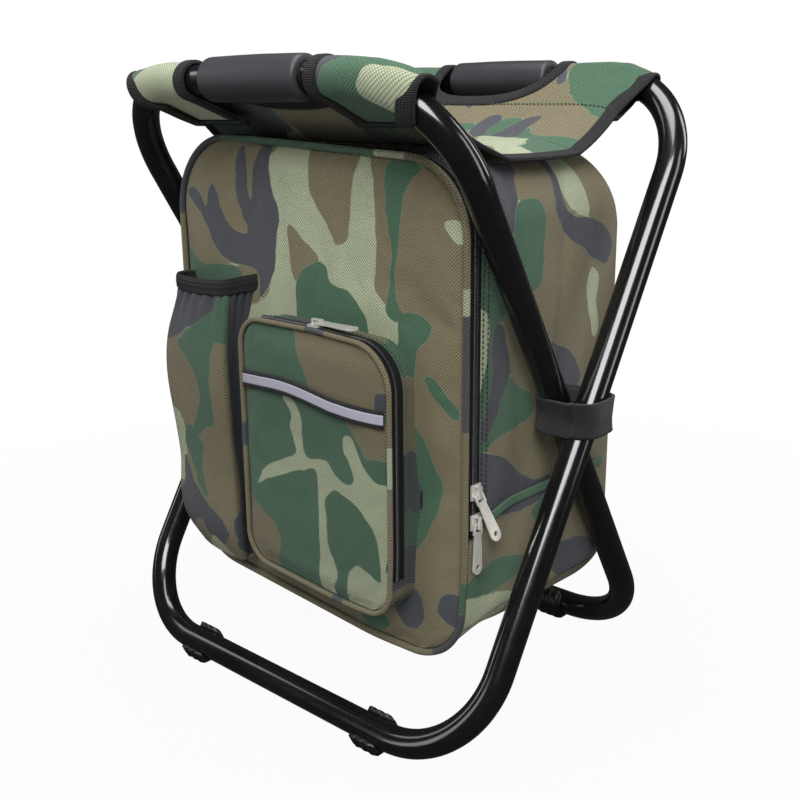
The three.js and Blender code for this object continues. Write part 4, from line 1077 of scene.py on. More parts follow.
@dataclass
class Seat:
    """The seat cloth: a middle on the bag and two slopes that rise to the bars and wrap them in open sleeves.

    Each slope is cut out in a scallop round its grip, and every edge has black binding.
    """

    loops: dict[End, FrameLoop]
    half_width: float = 132.0
    flat_half: float = 38.0
    height: float = 387.1
    flat_width: float = 90.0
    edge_drop: float = 8.0
    sag: float = 2.5
    dip: float = 0.9
    cloth: float = 1.4
    binding: float = 10.0
    front_seam_half: float = 112.0
    seam_share: float = 0.53
    scallop_power: float = 2.6
    scallop_reach: float = 0.78
    bend_share: float = 0.8
    strip_rows: int = 6
    sleeve_radius: float = 11.4
    sleeve_start: float = 52.0
    short_start: float = 63.0
    slide: float = 8.0
    bar_half: float = 132.0
    under_half: float = 114.0
    hem_start: float = 55.0
    hem_drop: float = 9.0
    hem_band: float = 7.5
    end_band: float = 14.0

    def level(self, x: Array) -> Array:
        """Height of the middle cloth: flat, then falling as the square of the way to its side edge."""
        past = np.clip(np.abs(x) - self.flat_width, 0, None) / (self.half_width - self.flat_width)
        return self.height - self.edge_drop * past**2

    def fall(self, end: End, x: Array) -> Array:
        """How far the bar's bend lies below its straight run, along the leg."""
        loop = self.loops[end]
        bent = np.clip((np.abs(x) - (loop.half_width - loop.top_bend)) / loop.top_bend, 0, 0.95)
        return loop.top_bend * arc_drop(bent)

    def root(self, end: End, x: Array) -> Array:
        """Where a slope leaves the middle."""
        return joined(x, end.value * self.flat_half, self.level(x))

    def bar(self, end: End, x: Array, fall: object = 0.0) -> Array:
        """The line of the bar's straight run, or a fall below it along the leg."""
        loop = self.loops[end]
        return loop.place(joined(x, loop.above - fall))

    def seam(self, end: End, x: Array) -> Array:
        """The line that joins a sleeve's two layers, a share of the way from the middle to the bar."""
        root = self.root(end, x)
        return root + (self.bar(end, x) - root) * self.seam_share

    def seam_half(self, end: End) -> float:
        """Half the cloth's width at its seam: the front slope narrows towards its bar."""
        return self.front_seam_half if end is End.FRONT else self.half_width

    def width_at(self, end: End, v: Array) -> Array:
        """Half the slope's width, with v from 0 at the middle to 1 at the seam."""
        return self.half_width + (self.seam_half(end) - self.half_width) * v

    def slope(self, end: End, x: Array, v: Array) -> Array:
        """A slope below its seam: a straight pull less a sag, v being 0 at the middle and 1 at the seam."""
        root, seam = self.root(end, x), self.seam(end, x)
        ripple = 0.9 * lattice_noise(joined(x, 60 * v), 26.0, 70 + end.value)
        low = self.sag * 4 * v * (1 - v) - ripple * np.sin(np.pi * v)
        return root + (seam - root) * v[..., None] - low[..., None] * Z_AXIS

    def wrap(self, end: End, x: Array, turn: Array, reach: Array) -> tuple[Array, Array]:
        """A sleeve's surface: a loop that follows the bar's bend in part above and fully below, to the seam.

        Square to X its section is an ellipse. Scaled to a circle, it has two tangents from the seam. Turn
        goes round the circle from the upper tangent to the lower one. Reach goes along a tangent from the
        circle to the seam.

        Args:
            end: Which bar.
            x: Places along the bar.
            turn: From 0, the upper layer, to 1, the lower layer.
            reach: From 0, at the bar, to 1, at the seam.

        Returns:
            Points and outward normals.
        """
        loop = self.loops[end]
        x, turn, reach = np.broadcast_arrays(x, turn, reach)
        fall = self.fall(end, x)
        wave = lattice_noise(joined(x, 26 * turn, 30 * reach), 9.0, 40 + end.value)
        radius = self.sleeve_radius + 0.45 * wave
        follow = 0.36 if end is End.FRONT else 0.85
        centre = self.bar(end, x, fall * (1 + follow) / 2)
        stretch = 1 + fall * (1 - follow) / (2 * radius)
        offset = self.seam(end, x) - centre
        rise, across = offset @ loop.rise / stretch, offset @ loop.across
        half = np.arccos(radius / np.hypot(rise, across))
        angle = np.arctan2(across, rise) + half + 2 * (np.pi - half) * turn
        a, b = radius * np.cos(angle), radius * np.sin(angle)
        a, b = (a + (rise - a) * reach) * stretch, b + (across - b) * reach
        hem_drop = self.hem_drop if end is End.FRONT else self.hem_drop / 2
        drop = np.where(turn >= 1, hem_drop * reach, 0)
        up, out = loop.rise, loop.across
        points = centre + a[..., None] * up + b[..., None] * out - drop[..., None] * Z_AXIS
        normals = (np.cos(angle) / stretch)[..., None] * up + np.sin(angle)[..., None] * out
        return points, unit(normals)

    def sleeve_rows(self, end: End, side: Side) -> tuple[Array, Array, Array]:
        """Rows of a sleeve from its seam over the bar to its hem: turn, reach and the inner edge's place.

        Next to the seam the cloth is whole. The upper layer's inner edge is then a quarter of a superellipse,
        half of the scallop, and the lower layer's runs straight to the hem. The front left sleeve is pushed
        out along its bar.
        """
        start = self.short_start if (end, side) == (End.FRONT, Side.LEFT) else self.sleeve_start
        power = 2 / self.scallop_power
        whole = np.linspace(1, self.scallop_reach, self.strip_rows, endpoint=False)
        upper = np.linspace(np.pi / 2, 0, 28)
        over = np.linspace(0, 1, 36)[1:-1]
        under = np.linspace(0, 1, 18)
        turn = np.concatenate([0 * whole, 0 * upper, over, 0 * under + 1])
        reach = np.concatenate([whole, self.scallop_reach * np.sin(upper) ** power, 0 * over, under])
        inner = np.concatenate([0 * whole, start * np.cos(upper) ** power, 0 * over + start,
                                start + (self.hem_start - start) * under])
        return turn, reach, inner

    def outer_edge(self, end: End, turn: Array, reach: Array) -> Array:
        """Distance of a sleeve's open end from the middle: far out over the bar and cut back below it."""
        over = self.bar_half - (self.bar_half - self.under_half) * turn**2
        return over + (self.seam_half(end) - over) * reach

    def along(self, side: Side, away: Array, reach: Array) -> Array:
        """Place along the bar at a distance from the sleeves' middle, which is pushed to the right there."""
        return side.value * away + self.slide * (1 - reach)

    def printed(self, node: str, grid: Array, flat: Array, end: End, flip: bool = False) -> Piece:
        """A length of seat cloth with its print.

        Args:
            node: The solid that it stands for.
            grid: Its grid of points.
            flat: Their places on the flat cloth.
            end: Which slope's print.
            flip: Turn the faces round.

        Returns:
            The dressed sheet.
        """
        fields = SLOPE_PRINTS[end].fields(flat)
        cloth = build_surface(f"{node}_cloth", grid, uv=flat * MM, fields=fields, flip=flip)
        return CAMO.dress(cloth, node)

    def build_sleeve(self, end: End, side: Side) -> list[Piece]:
        """One sleeve's cloth, the binding round its open end, its black hem and its green stitches."""
        word = f"{end.word}_sleeve_{side.word}"
        turn, reach, inner = self.sleeve_rows(end, side)
        outer = self.outer_edge(end, turn, reach)
        away = inner[:, None] + (outer - inner)[:, None] * np.linspace(0, 1, 60)
        x_cloth = self.along(side, away, reach[:, None])
        grid, normal = self.wrap(end, x_cloth, turn[:, None], reach[:, None])
        middle = np.full_like(turn, side.value * 95.0)
        seam_run = np.linalg.norm(self.seam(end, middle[:1]) - self.root(end, middle[:1]))
        run = seam_run + arc_lengths(self.wrap(end, middle, turn, reach)[0])
        flat = joined(x_cloth, run[:, None])
        cloth = self.printed(word, grid, flat, end, faces_inwards(grid, normal))
        thicken(cloth, 1.2)
        edge, lift = self.wrap(end, self.along(side, outer, reach), turn, reach)
        binding = self.edge_tape(f"{word}_end_binding", edge, -side.value * X_AXIS, lift, self.end_band)
        pieces = [cloth, binding]
        x = side.value * np.linspace(self.hem_start - 3, self.seam_half(end) - 2, 50)
        hem, under = self.wrap(end, x, 1.0, 1.0)
        back = unit(self.wrap(end, x, 1.0, 0.7)[0] - hem)
        pieces.append(self.edge_tape(f"{word}_hem", hem, back, under, self.hem_band))
        rows = (("hem_stitches", 1.0, 0.84, self.hem_start, 1.9), ("seam_stitches", 0.0, 0.95, 22.0, 0.5))
        for label, turn_at, share, first, height in rows:
            x = side.value * np.linspace(first, self.seam_half(end) - 6, 60)
            line, out = self.wrap(end, x, turn_at, share)
            pieces.append(THREAD.dress(stitch_row(f"{word}_{label}", line + out * height, out)))
        return pieces

    def build_scallop(self, end: End) -> Piece:
        """The binding from one hem over the bar, round the scallop, and over the bar to the other hem."""
        edges = []
        for side in Side:
            turn, reach, inner = self.sleeve_rows(end, side)
            edge = np.concatenate(self.wrap(end, self.along(side, inner, reach), turn, reach), 1)
            edges.append(edge[self.strip_rows:])
        both = resample(np.concatenate([edges[0][::-1], edges[1][1:]]), 2.0)
        edge, lift = both[:, :3], unit(both[:, 3:])
        inward = unit(np.cross(lift, tangents(edge))) * -end.value
        return self.edge_tape(f"seat_{end.word}_scallop_binding", edge, inward, lift, self.binding)

    def edge_tape(self, name: str, edge: Array, inward: Array, lift: Array, width: float) -> Piece:
        """Binding folded over an edge: a flat section that reaches inwards over both faces of the cloth.

        Args:
            name: The piece's name.
            edge: The cloth's edge.
            inward: Direction along the cloth from its edge.
            lift: The cloth's normal along the edge.
            width: Width of the tape on each face.

        Returns:
            The dressed piece.
        """
        middle = edge + inward * (width / 2 - 1.2)
        return BINDING.dress(build_swept(name, middle, inward, lift, tape_profile(width, 3.0)))

    def side_tape(self, name: str, edge: Array, side: Side) -> Piece:
        """Binding along one side edge of the cloth, which falls away a little to that side."""
        inward = unit(np.array([-side.value, 0.0, 0.24]))
        lift = unit(np.cross(tangents(edge), inward))
        return self.edge_tape(name, edge, inward, lift, self.binding)

    def build_slope(self, end: End) -> None:
        """One slope's cloth with its bindings and sleeves."""
        u, v = np.meshgrid(np.linspace(-1, 1, 133), np.linspace(0, 1, 27))
        x = u * self.width_at(end, v)
        grid = self.slope(end, x, v)
        flat = joined(x, np.linalg.norm(grid - grid[:1], axis=-1))
        name = f"seat_{end.word}_slope"
        cloth = self.printed(name, grid, flat, end, end is End.FRONT)
        thicken(cloth, self.cloth, 0.0)
        pieces = [cloth]
        v_edge = np.linspace(0, 1, 40)
        for side in Side:
            edge = self.slope(end, side.value * self.width_at(end, v_edge), v_edge)
            pieces.append(self.side_tape(f"{name}_{side.word}_binding", edge, side))
        pieces.append(self.build_scallop(end))
        for side in Side:
            pieces += self.build_sleeve(end, side)
        root, bar = self.root(end, np.zeros(1))[0], self.bar(end, np.zeros(1))[0]
        for piece in pieces:
            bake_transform(report(piece))

    def build_middle(self) -> None:
        """The middle cloth on the bag and its side bindings."""
        u, w = np.meshgrid(np.linspace(-1, 1, 133), np.linspace(-1, 1, 31))
        x, y = u * self.half_width, w * self.flat_half
        z = self.level(x) - self.dip * np.clip(1 - w**2, 0, 1) + 0.8 * lattice_noise(joined(x, y), 30.0, 9)
        grid = joined(x, y, z)
        cloth = self.printed("seat_middle", grid, joined(x, y - self.flat_half), End.REAR)
        thicken(cloth, self.cloth, 0.0)
        pieces = [cloth]
        y_edge = np.linspace(-self.flat_half, self.flat_half, 50)
        for side in Side:
            x_edge = side.value * self.half_width
            z_edge = self.level(x_edge) - self.dip * (1 - (y_edge / self.flat_half) ** 2)
            edge = joined(x_edge, y_edge, z_edge)
            pieces.append(self.side_tape(f"seat_middle_{side.word}_binding", edge, side))
        mount("bag", pieces)

    def build(self) -> None:
        """Make the whole seat."""
        self.build_middle()
        for end in End:
            self.build_slope(end)


# Zips and piping

@dataclass
class ZipRun:
    """One half of a zip: a flat tape along a line and a ridged coil on its inner edge."""

    name: str
    line: Array
    outward: Array
    width: float
    coil_at: float
    coil_radius: float = 1.25
    pitch: float = 1.35

    def build(self) -> list[Piece]:
        """The tape, which lies along Y from the line, and the coil.

        The coil is a small circle carried along the zip whose radius swells once for each tooth.
        """
        length = arc_lengths(self.line)[-1]
        both = np.concatenate([self.line, self.outward], 1)
        coarse = resample(both, length / int(length / 3))
        middle = coarse[:, :3] + Y_AXIS * self.width / 2
        flat = sweep(middle, Y_AXIS, coarse[:, 3:], tape_profile(self.width, 1.1))
        tape = build_surface(f"{self.name}_tape", flat, wrap_v=True, caps=True)
        fine = resample(both, self.pitch / 6)
        teeth = 1 + 0.24 * np.sin(arc_lengths(fine[:, :3]) / self.pitch * 2 * np.pi)
        profile = ring_profile(self.coil_radius, 8)[None] * teeth[:, None, None]
        centre = fine[:, :3] + Y_AXIS * self.coil_at + fine[:, 3:] * 0.7
        ridged = sweep(centre, Y_AXIS, fine[:, 3:], profile)
        coil = build_surface(f"{self.name}_coil", ridged, wrap_v=True, caps=True)
        return [ZIP_TAPE.dress(tape, f"{self.name}_tape"), ZIP_COIL.dress(coil)]


@dataclass
class Piping:
    """A braided cord sewn round an outline, printed in lengths of the cloth's inks."""

    node: str
    outline: RoundedOutline
    y: float
    radius: float
    tones: tuple[tuple[float, Tone], ...]
    level_x: float = 0.0

    def build(self) -> Piece:
        """The cord: a circle carried once round the outline, inked by the share of the way round."""
        points, normals = self.outline.loop(60, 24)
        path = hang(upright(points, self.y), self.level_x)
        profile = ring_profile(self.radius, 12)
        share = np.linspace(0, 1, len(path))
        stops = np.array([stop for stop, _ in self.tones])
        index = np.searchsorted(stops, share, side="right") - 1
        fields = {}
        for tone in OVERPRINT:
            hit = np.array([self.tones[k][1] is tone for k in index])
            fields[tone.value] = np.repeat(np.where(hit, 1.0, -1.0), len(profile))
        grid = sweep(path, upright(normals), -Y_AXIS, profile)
        cord = build_surface(f"{self.node}_cord", grid, wrap_u=True, wrap_v=True, fields=fields)
        return PIPING.dress(cord, self.node)


# Cloth that is blown up and let settle

def settle(piece: Piece, pinned: Array, pressure: float, slack: float, cap: float,
           steps: int = 16) -> Piece:
    """Let a cloth sheet fill out: pinned at its edge, grown a little, under even pressure, without gravity.

    A point's move is held under a limit by a hyperbolic tangent.

    Args:
        piece: An open sheet with faces outwards.
        pinned: True for each point that stays.
        pressure: Blender's cloth pressure.
        slack: Share by which the cloth grows.
        cap: The farthest that a point may move, in millimetres.
        steps: Frames to run.

    Returns:
        The piece, with the settled shape in its own mesh.
    """
    group = piece.vertex_groups.new(name="pinned")
    group.add(np.flatnonzero(pinned).tolist(), 1.0, "REPLACE")
    cloth = piece.modifiers.new("settle", "CLOTH")
    settings = cloth.settings
    settings.vertex_group_mass = "pinned"
    settings.effector_weights.gravity = 0.0
    settings.use_pressure = True
    settings.uniform_pressure_force = pressure
    settings.shrink_min = -slack
    settings.quality = 4
    settings.mass = 0.3
    settings.tension_stiffness = settings.compression_stiffness = 25
    settings.bending_stiffness = 0.8
    cloth.collision_settings.use_collision = False
    scene = bpy.context.scene
    start = np.zeros(len(piece.data.vertices) * 3, np.float32)
    piece.data.vertices.foreach_get("co", start)
    for step in range(1, steps + 1):
        scene.frame_set(step)
    settled = piece.evaluated_get(bpy.context.evaluated_depsgraph_get())
    shape = np.zeros_like(start)
    settled.data.vertices.foreach_get("co", shape)
    move = (shape - start).reshape(-1, 3)
    length = np.linalg.norm(move, axis=1, keepdims=True)
    limit = cap * MM
    move *= np.where(length > 1e-9, limit * np.tanh(length / limit) / np.maximum(length, 1e-9), 0)
    piece.modifiers.remove(cloth)
    piece.vertex_groups.remove(group)
    scene.frame_set(1)
    piece.data.vertices.foreach_set("co", (start.reshape(-1, 3) + move).astype(np.float32).ravel())
    piece.data.update()
    return piece


# The bag

@dataclass
class FrontPanel:
    """The padded zip panel: printed cover, braided piping, its half of the zip and its foil lining."""

    front: float = -82.0
    rear: float = -73.1
    piping_radius: float = 2.3
    cloth: float = 1.3

    def build_cover(self) -> Piece:
        """The cover: it rolls back to the piping at its edge, stands proud inside, and ripples slightly."""
        x, z, edge = BAG.inset(2.0).fill(131, 161)
        roll = 2.6 * np.exp(-edge / 3.5) - 2.4 * (1 - np.exp(-edge / 30))
        places = joined(x, z)
        ripple = 1.5 * lattice_noise(places, 60.0, 21) + 0.6 * lattice_noise(places * [1, 0.5], 20.0, 22)
        y = self.front + roll + ripple * smooth(edge / 20)
        grid = hang(joined(x, y, z))
        fields = PANEL_PRINT.fields(joined(grid[..., 0], grid[..., 2]))
        cover = build_surface("panel_cover_cloth", grid, uv=places * MM, fields=fields, flip=True)
        settle(cover, (edge < SEAM).ravel(), pressure=3.0, slack=0.006, cap=5.0)
        thicken(cover, self.cloth)
        return CAMO.dress(cover, "panel_cover")

    def build_lining(self) -> Piece:
        """The foil lining behind the foam: a soft plate that closes the panel's rear."""
        x, z, edge = BAG.inset(4.6).fill(61, 71)
        places = joined(x, z)
        quilt = 0.7 * lattice_noise(places, 22.0, 33)
        y = self.rear - 1.2 * np.exp(-edge / 3.0) + quilt * smooth(edge / 15) - 0.6
        lining = build_surface("panel_lining", hang(joined(x, y, z)), uv=places * MM)
        thicken(lining, 1.6)
        return FOIL.dress(lining, "panel_foam", "panel_liner")

    def build(self) -> None:
        """Make the panel and its piping and zip half."""
        tones = ((0.0, BROWN), (0.17, DARK), (0.2145, GREEN), (0.228, BROWN), (0.292, DARK), (0.337, KHAKI),
                 (0.349, BROWN), (0.427, KHAKI), (0.45, GREEN), (0.58, DARK), (0.64, BROWN), (0.74, GREEN),
                 (0.80, BROWN))
        piping = Piping("panel_piping", BAG, self.front + 0.75, self.piping_radius, tones).build()
        line, outward = zip_line(y=-78.8)
        zip_half = ZipRun("panel_zip", line, outward, width=5.2, coil_at=4.4).build()
        mount("front_panel", (self.build_cover(), self.build_lining(), piping, *zip_half))


def zip_line(y: float) -> tuple[Array, Array]:
    """The main zip's line on the bag's outline at one Y, from its right end over the top to its left end.

    Returns:
        Points and outward normals.
    """
    points, normals = BAG.loop(80, 24)
    upper = above_zip_ends(points)
    return hang(upright(points[upper], y)), upright(normals[upper])


@dataclass
class BagBody:
    """The rest of the bag: a gusset round its four sides, a back, the foil tub, and its half of the zip."""

    gusset_front: float = -68.0
    lower_front: float = -78.6
    rear: float = 90.0
    cloth: float = 1.3
    back: RoundedOutline = RoundedOutline(-131.5, 131.5, 63, 374, (54, 54, 42, 42))

    def wall(self, line_steps: int, arc_steps: int, columns: int) -> tuple[Array, Array]:
        """The gusset's surface from its front edge to the back's rim.

        It runs straight back from the bag's outline, then turns in to the back's smaller outline by a quarter
        ellipse that starts earlier along the top than at the sides.

        Returns:
            The grid and the outward normals of the outline.
        """
        points, normals = BAG.loop(line_steps, arc_steps)
        rim, _ = self.back.loop(line_steps, arc_steps)
        front = np.where(above_zip_ends(points), self.gusset_front, self.lower_front)
        t = np.linspace(0, 1, columns)
        y = front[:, None] + (self.rear - front)[:, None] * t
        top = smooth((normals[:, 1] - 0.2) / 0.8)
        begin = 64 - 22 * top
        turn = np.clip((y - begin[:, None]) / (self.rear - begin)[:, None], 0, 1)
        flat = points[:, None] + (rim - points)[:, None] * arc_drop(turn)[..., None]
        return joined(flat[..., 0], y, flat[..., 1]), normals

    def soften(self, grid: Array, normals: Array) -> Array:
        """Let the walls draw in and crease: a slow hollow, soft noise and three long creases on each side."""
        out = upright(normals)[:, None]
        y, z = grid[..., 1], grid[..., 2]
        sideways = np.abs(normals[:, :1])
        centre = np.sin(np.pi * np.clip((y + 76) / 166, 0, 1))
        swell = -1.6 * centre * sideways + 1.0 * lattice_noise(grid, 42.0, 51) * centre
        crease = np.zeros_like(y)
        creases = ((12.0, 28.0, 2.2, 5.0), (-22.0, -34.0, 1.4, 6.0), (48.0, 60.0, 1.3, 7.0))
        for foot, head, depth, width in creases:
            line = foot + (head - foot) * np.clip((z - 170) / 200, 0, 1)
            crease += depth * np.exp(-((y - line) / width) ** 2) * smooth((z - 165) / 60)
        return grid + out * (swell - crease * sideways)[..., None]

    def build_gusset(self) -> Piece:
        """The printed gusset, laid out from listed shapes on the right side and by seed elsewhere."""
        grid, normals = self.wall(70, 22, 84)
        grid = hang(self.soften(grid, normals))
        run = arc_lengths(np.concatenate([grid[:, 40], grid[:1, 40]]))[:, None]
        y = grid[..., 1]
        uv = joined(np.concatenate([y, y[:1]]), run) * MM
        fields = WoodlandPrint(KHAKI, seed=91).fields(joined(y, run[:-1]))
        laid = RIGHT_SIDE_PRINT.fields(grid[..., 1:])
        right = np.repeat(normals[:, 0] > 0.55, grid.shape[1])
        fields = {key: np.where(right, laid[key], fields[key]) for key in fields}
        gusset = build_surface("gusset_cloth", grid, wrap_u=True, uv=uv, fields=fields, flip=True)
        thicken(gusset, self.cloth)
        return CAMO.dress(gusset, "gusset_cover")

    def build_back(self) -> Piece:
        """The padded back: crowned, and rolled in at its seam."""
        x, z, edge = self.back.fill(91, 101)
        places = joined(x, z)
        ripple = 0.5 * lattice_noise(places, 45.0, 61) * smooth(edge / 15)
        y = self.rear + 1.6 * (1 - np.exp(-edge / 18)) - 0.6 + ripple
        grid = hang(joined(x, y, z))
        fields = WoodlandPrint(KHAKI, seed=131).fields(places)
        back = build_surface("back_cloth", grid, uv=places * MM, fields=fields)
        settle(back, (edge < SEAM).ravel(), pressure=3.0, slack=0.006, cap=5.0)
        thicken(back, self.cloth)
        return CAMO.dress(back, "back_cover")

    def build_tub(self) -> Piece:
        """The foam walls and foil lining as one soft tub: outline rings, open in front and closed behind."""
        outer, inner, lip = BAG.inset(7.6), BAG.inset(10.4), BAG.inset(3.2)
        back_outer, back_inner = self.back.inset(2.5), self.back.inset(6.5)
        rings = [(back_outer, 85.5), (back_outer, 82.0), (outer, 50.0), (outer, -58.0), (lip, -67.0),
                 (lip.inset(1.4), -71.5), (inner.inset(-2), -71.5), (inner, -66.0), (inner, 46.0),
                 (back_inner, 78.0), (back_inner.inset(4), 79.5)]
        stack = np.stack([upright(outline.loop(14, 8)[0], y) for outline, y in rings])
        middle = np.array([(self.back.left + self.back.right) / 2, 0, (self.back.bottom + self.back.top) / 2])
        shut, floor = (ring * [0.02, 1, 0.02] + middle * [0.98, 0, 0.98] for ring in (stack[:1], stack[-1:]))
        grid = hang(np.concatenate([shut, stack, floor]))
        tub = build_surface("foil_tub", grid, wrap_v=True, caps=True)
        return FOIL.dress(tub, "wall_foam", "back_foam", "wall_liner", "back_liner")

    def build_seams(self) -> list[Piece]:
        """Two rows of stitches behind the zip and a binding round the back's rim."""
        pieces = []
        for number, y in enumerate((-65.6, -60.8)):
            line, out = zip_line(y)
            pieces.append(BLACK_THREAD.dress(stitch_row(f"gusset_seam_{number}", line + out * 0.35, out)))
        rim, normals = self.back.loop(60, 22)
        path = hang(upright(rim - normals, self.rear))
        grid = sweep(path, upright(normals), Y_AXIS, ring_profile(1.3, 10))
        cord = build_surface("back_rim_binding", grid, wrap_u=True, wrap_v=True, flip=True)
        return pieces + [BINDING.dress(cord)]

    def build(self) -> None:
        """Make the bag's body."""
        line, outward = zip_line(y=-73.4)
        zip_half = ZipRun("body_zip", line, outward, width=5.6, coil_at=1.0).build()
        parts = (self.build_gusset(), self.build_back(), self.build_tub(), *self.build_seams(), *zip_half)
        mount("bag", parts)


@dataclass
class FrontPocket:
    """The zipped pocket on the panel: gusset, crowned cover, piping, zip and reflective strip."""

    front: float = -112.8
    rear: float = -82.2
    zip_front: float = -110.9
    zip_rear: float = -99.4
    coil_at: float = 4.4
    level_x: float = 34.0
    strip_height: float = 6.4
    strip_edge: float = 2.6

    def zipped(self, points: Array) -> Array:
        """True where the pocket's edge carries the zip: its top and the right side down to near the foot."""
        x, z = points[:, 0], points[:, 1]
        over_top = (z > POCKET.top - 12) & (x > POCKET.left + 18)
        down_right = (x > POCKET.right - 14) & (z > POCKET.bottom + 27)
        return over_top | down_right

    def build_gusset(self) -> Piece:
        """The side band: the outline carried from the panel to the zip or to the piping, slightly slack."""
        points, normals = POCKET.loop(40, 16)
        zipped = self.zipped(points)
        front = np.where(zipped, self.zip_rear + 0.2, self.zip_front - 0.8)
        t = np.linspace(0, 1, 26)
        y = self.rear + (front - self.rear)[:, None] * t
        slack = np.sin(np.pi * t) * (1.0 + 0.8 * lattice_noise(points[:, None] + 30 * t[:, None], 24.0, 71))
        out = upright(normals)[:, None]
        grid = joined(points[:, :1], y, points[:, 1:]) - out * (slack * 0.9)[..., None]
        grid = hang(grid, self.level_x)
        fields = BAND_PRINT.fields(joined(grid[..., 0] + grid[..., 2], y))
        band = build_surface("pocket_gusset_cloth", grid, wrap_u=True, fields=fields)
        thicken(band, 1.2)
        return SHADED_POCKET_CAMO.dress(band, "pocket_gusset")

    def cover_y(self, x: Array, z: Array, edge: Array) -> Array:
        """The cover's face: rolled back at the piping and crowned inside."""
        places = joined(x, z)
        ripple = 0.6 * lattice_noise(places, 34.0, 81) * smooth(edge / 15)
        return self.front + 2.2 * np.exp(-edge / 3.0) - 1.8 * (1 - np.exp(-edge / 22)) + ripple

    def build_cover(self) -> Piece:
        """The printed cover."""
        x, z, edge = POCKET.inset(1.8).fill(81, 101)
        grid = hang(joined(x, self.cover_y(x, z, edge), z), self.level_x)
        fields = POCKET_PRINT.fields(joined(grid[..., 0], grid[..., 2]))
        uv = joined(x, z) * MM
        cover = build_surface("pocket_cover_cloth", grid, uv=uv, fields=fields, flip=True)
        settle(cover, (edge < SEAM).ravel(), pressure=2.5, slack=0.005, cap=3.0)
        thicken(cover, 1.3)
        return SHADED_POCKET_CAMO.dress(cover, "pocket_cover")

    def strip_line(self, x: Array) -> Array:
        """Height of the reflective strip's middle line: a shallow hump on the left that dips to the right."""
        t = (x - POCKET.left) / (POCKET.right - POCKET.left)
        return 230.6 + 3.0 * np.sin(np.pi * np.clip(t * 1.5, 0, 1)) - 5.0 * smooth((t - 0.3) / 0.7)

    def build_strip(self) -> list[Piece]:
        """The pale strip and the dark tape behind it, both laid on the cover's face."""
        pieces = []
        x = np.linspace(POCKET.left + 3.2, POCKET.right - 3.2, 70)[:, None]
        layers = (("backing", self.strip_height / 2 + self.strip_edge, 0.5, BINDING),
                  ("face", self.strip_height / 2, 1.0, REFLECTIVE))
        for label, half, lift, finish in layers:
            xx, zz = np.broadcast_arrays(x, self.strip_line(x) + np.linspace(-half, half, 9))
            edge = np.minimum(xx - POCKET.left, POCKET.right - xx) - 1.8
            y = self.cover_y(xx, zz + 0.06 * (xx - self.level_x), edge) - lift - 1.2 - 2.4 * smooth(edge / 30)
            grid = joined(xx, y, zz)
            strip = build_surface(f"reflective_strip_{label}", grid, flip=True)
            thicken(strip, 0.7)
            pieces.append(finish.dress(strip))
        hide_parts("reflective_strip")
        return pieces

    def build_zip(self) -> list[Piece]:
        """The pocket's zip: one tape with its coil where the slider runs."""
        points, normals = POCKET.loop(60, 20)
        keep = self.zipped(points)
        line = hang(upright(points[keep], self.zip_front), self.level_x)
        width = self.zip_rear - self.zip_front
        out = upright(normals[keep])
        return ZipRun("pocket_zip", line, out, width, self.coil_at, coil_radius=1.5).build()

    def build_seams(self) -> list[Piece]:
        """Dark binding where the side band meets the panel, and two rows of stitches on the band."""
        points, normals = POCKET.loop(40, 16)
        out = upright(normals)
        path = hang(upright(points, self.rear - 0.4), self.level_x) + out * 0.8
        rim = build_swept("pocket_rim_binding", path, out, -Y_AXIS, ring_profile(1.2, 8), closed=True)
        pieces = [BINDING.dress(rim)]
        for number, y in enumerate((self.zip_rear + 2.2, self.rear - 3.0)):
            line = hang(upright(points, y), self.level_x) + out * 0.35
            pieces.append(THREAD.dress(stitch_row(f"pocket_seam_{number}", line, out)))
        return pieces

    def build(self) -> None:
        """Make the pocket."""
        tones = ((0.0, BROWN), (0.05, DARK), (0.08, BROWN), (0.298, KHAKI), (0.328, BROWN), (0.47, DARK),
                 (0.5, BROWN), (0.7, DARK), (0.72, BROWN))
        piping = Piping("pocket_piping", POCKET, self.front + 0.75, 1.75, tones, self.level_x).build()
        cloths = (self.build_gusset(), self.build_cover())
        trim = (*self.build_strip(), *self.build_zip(), *self.build_seams())
        mount("front_panel", (*cloths, piping, *trim))


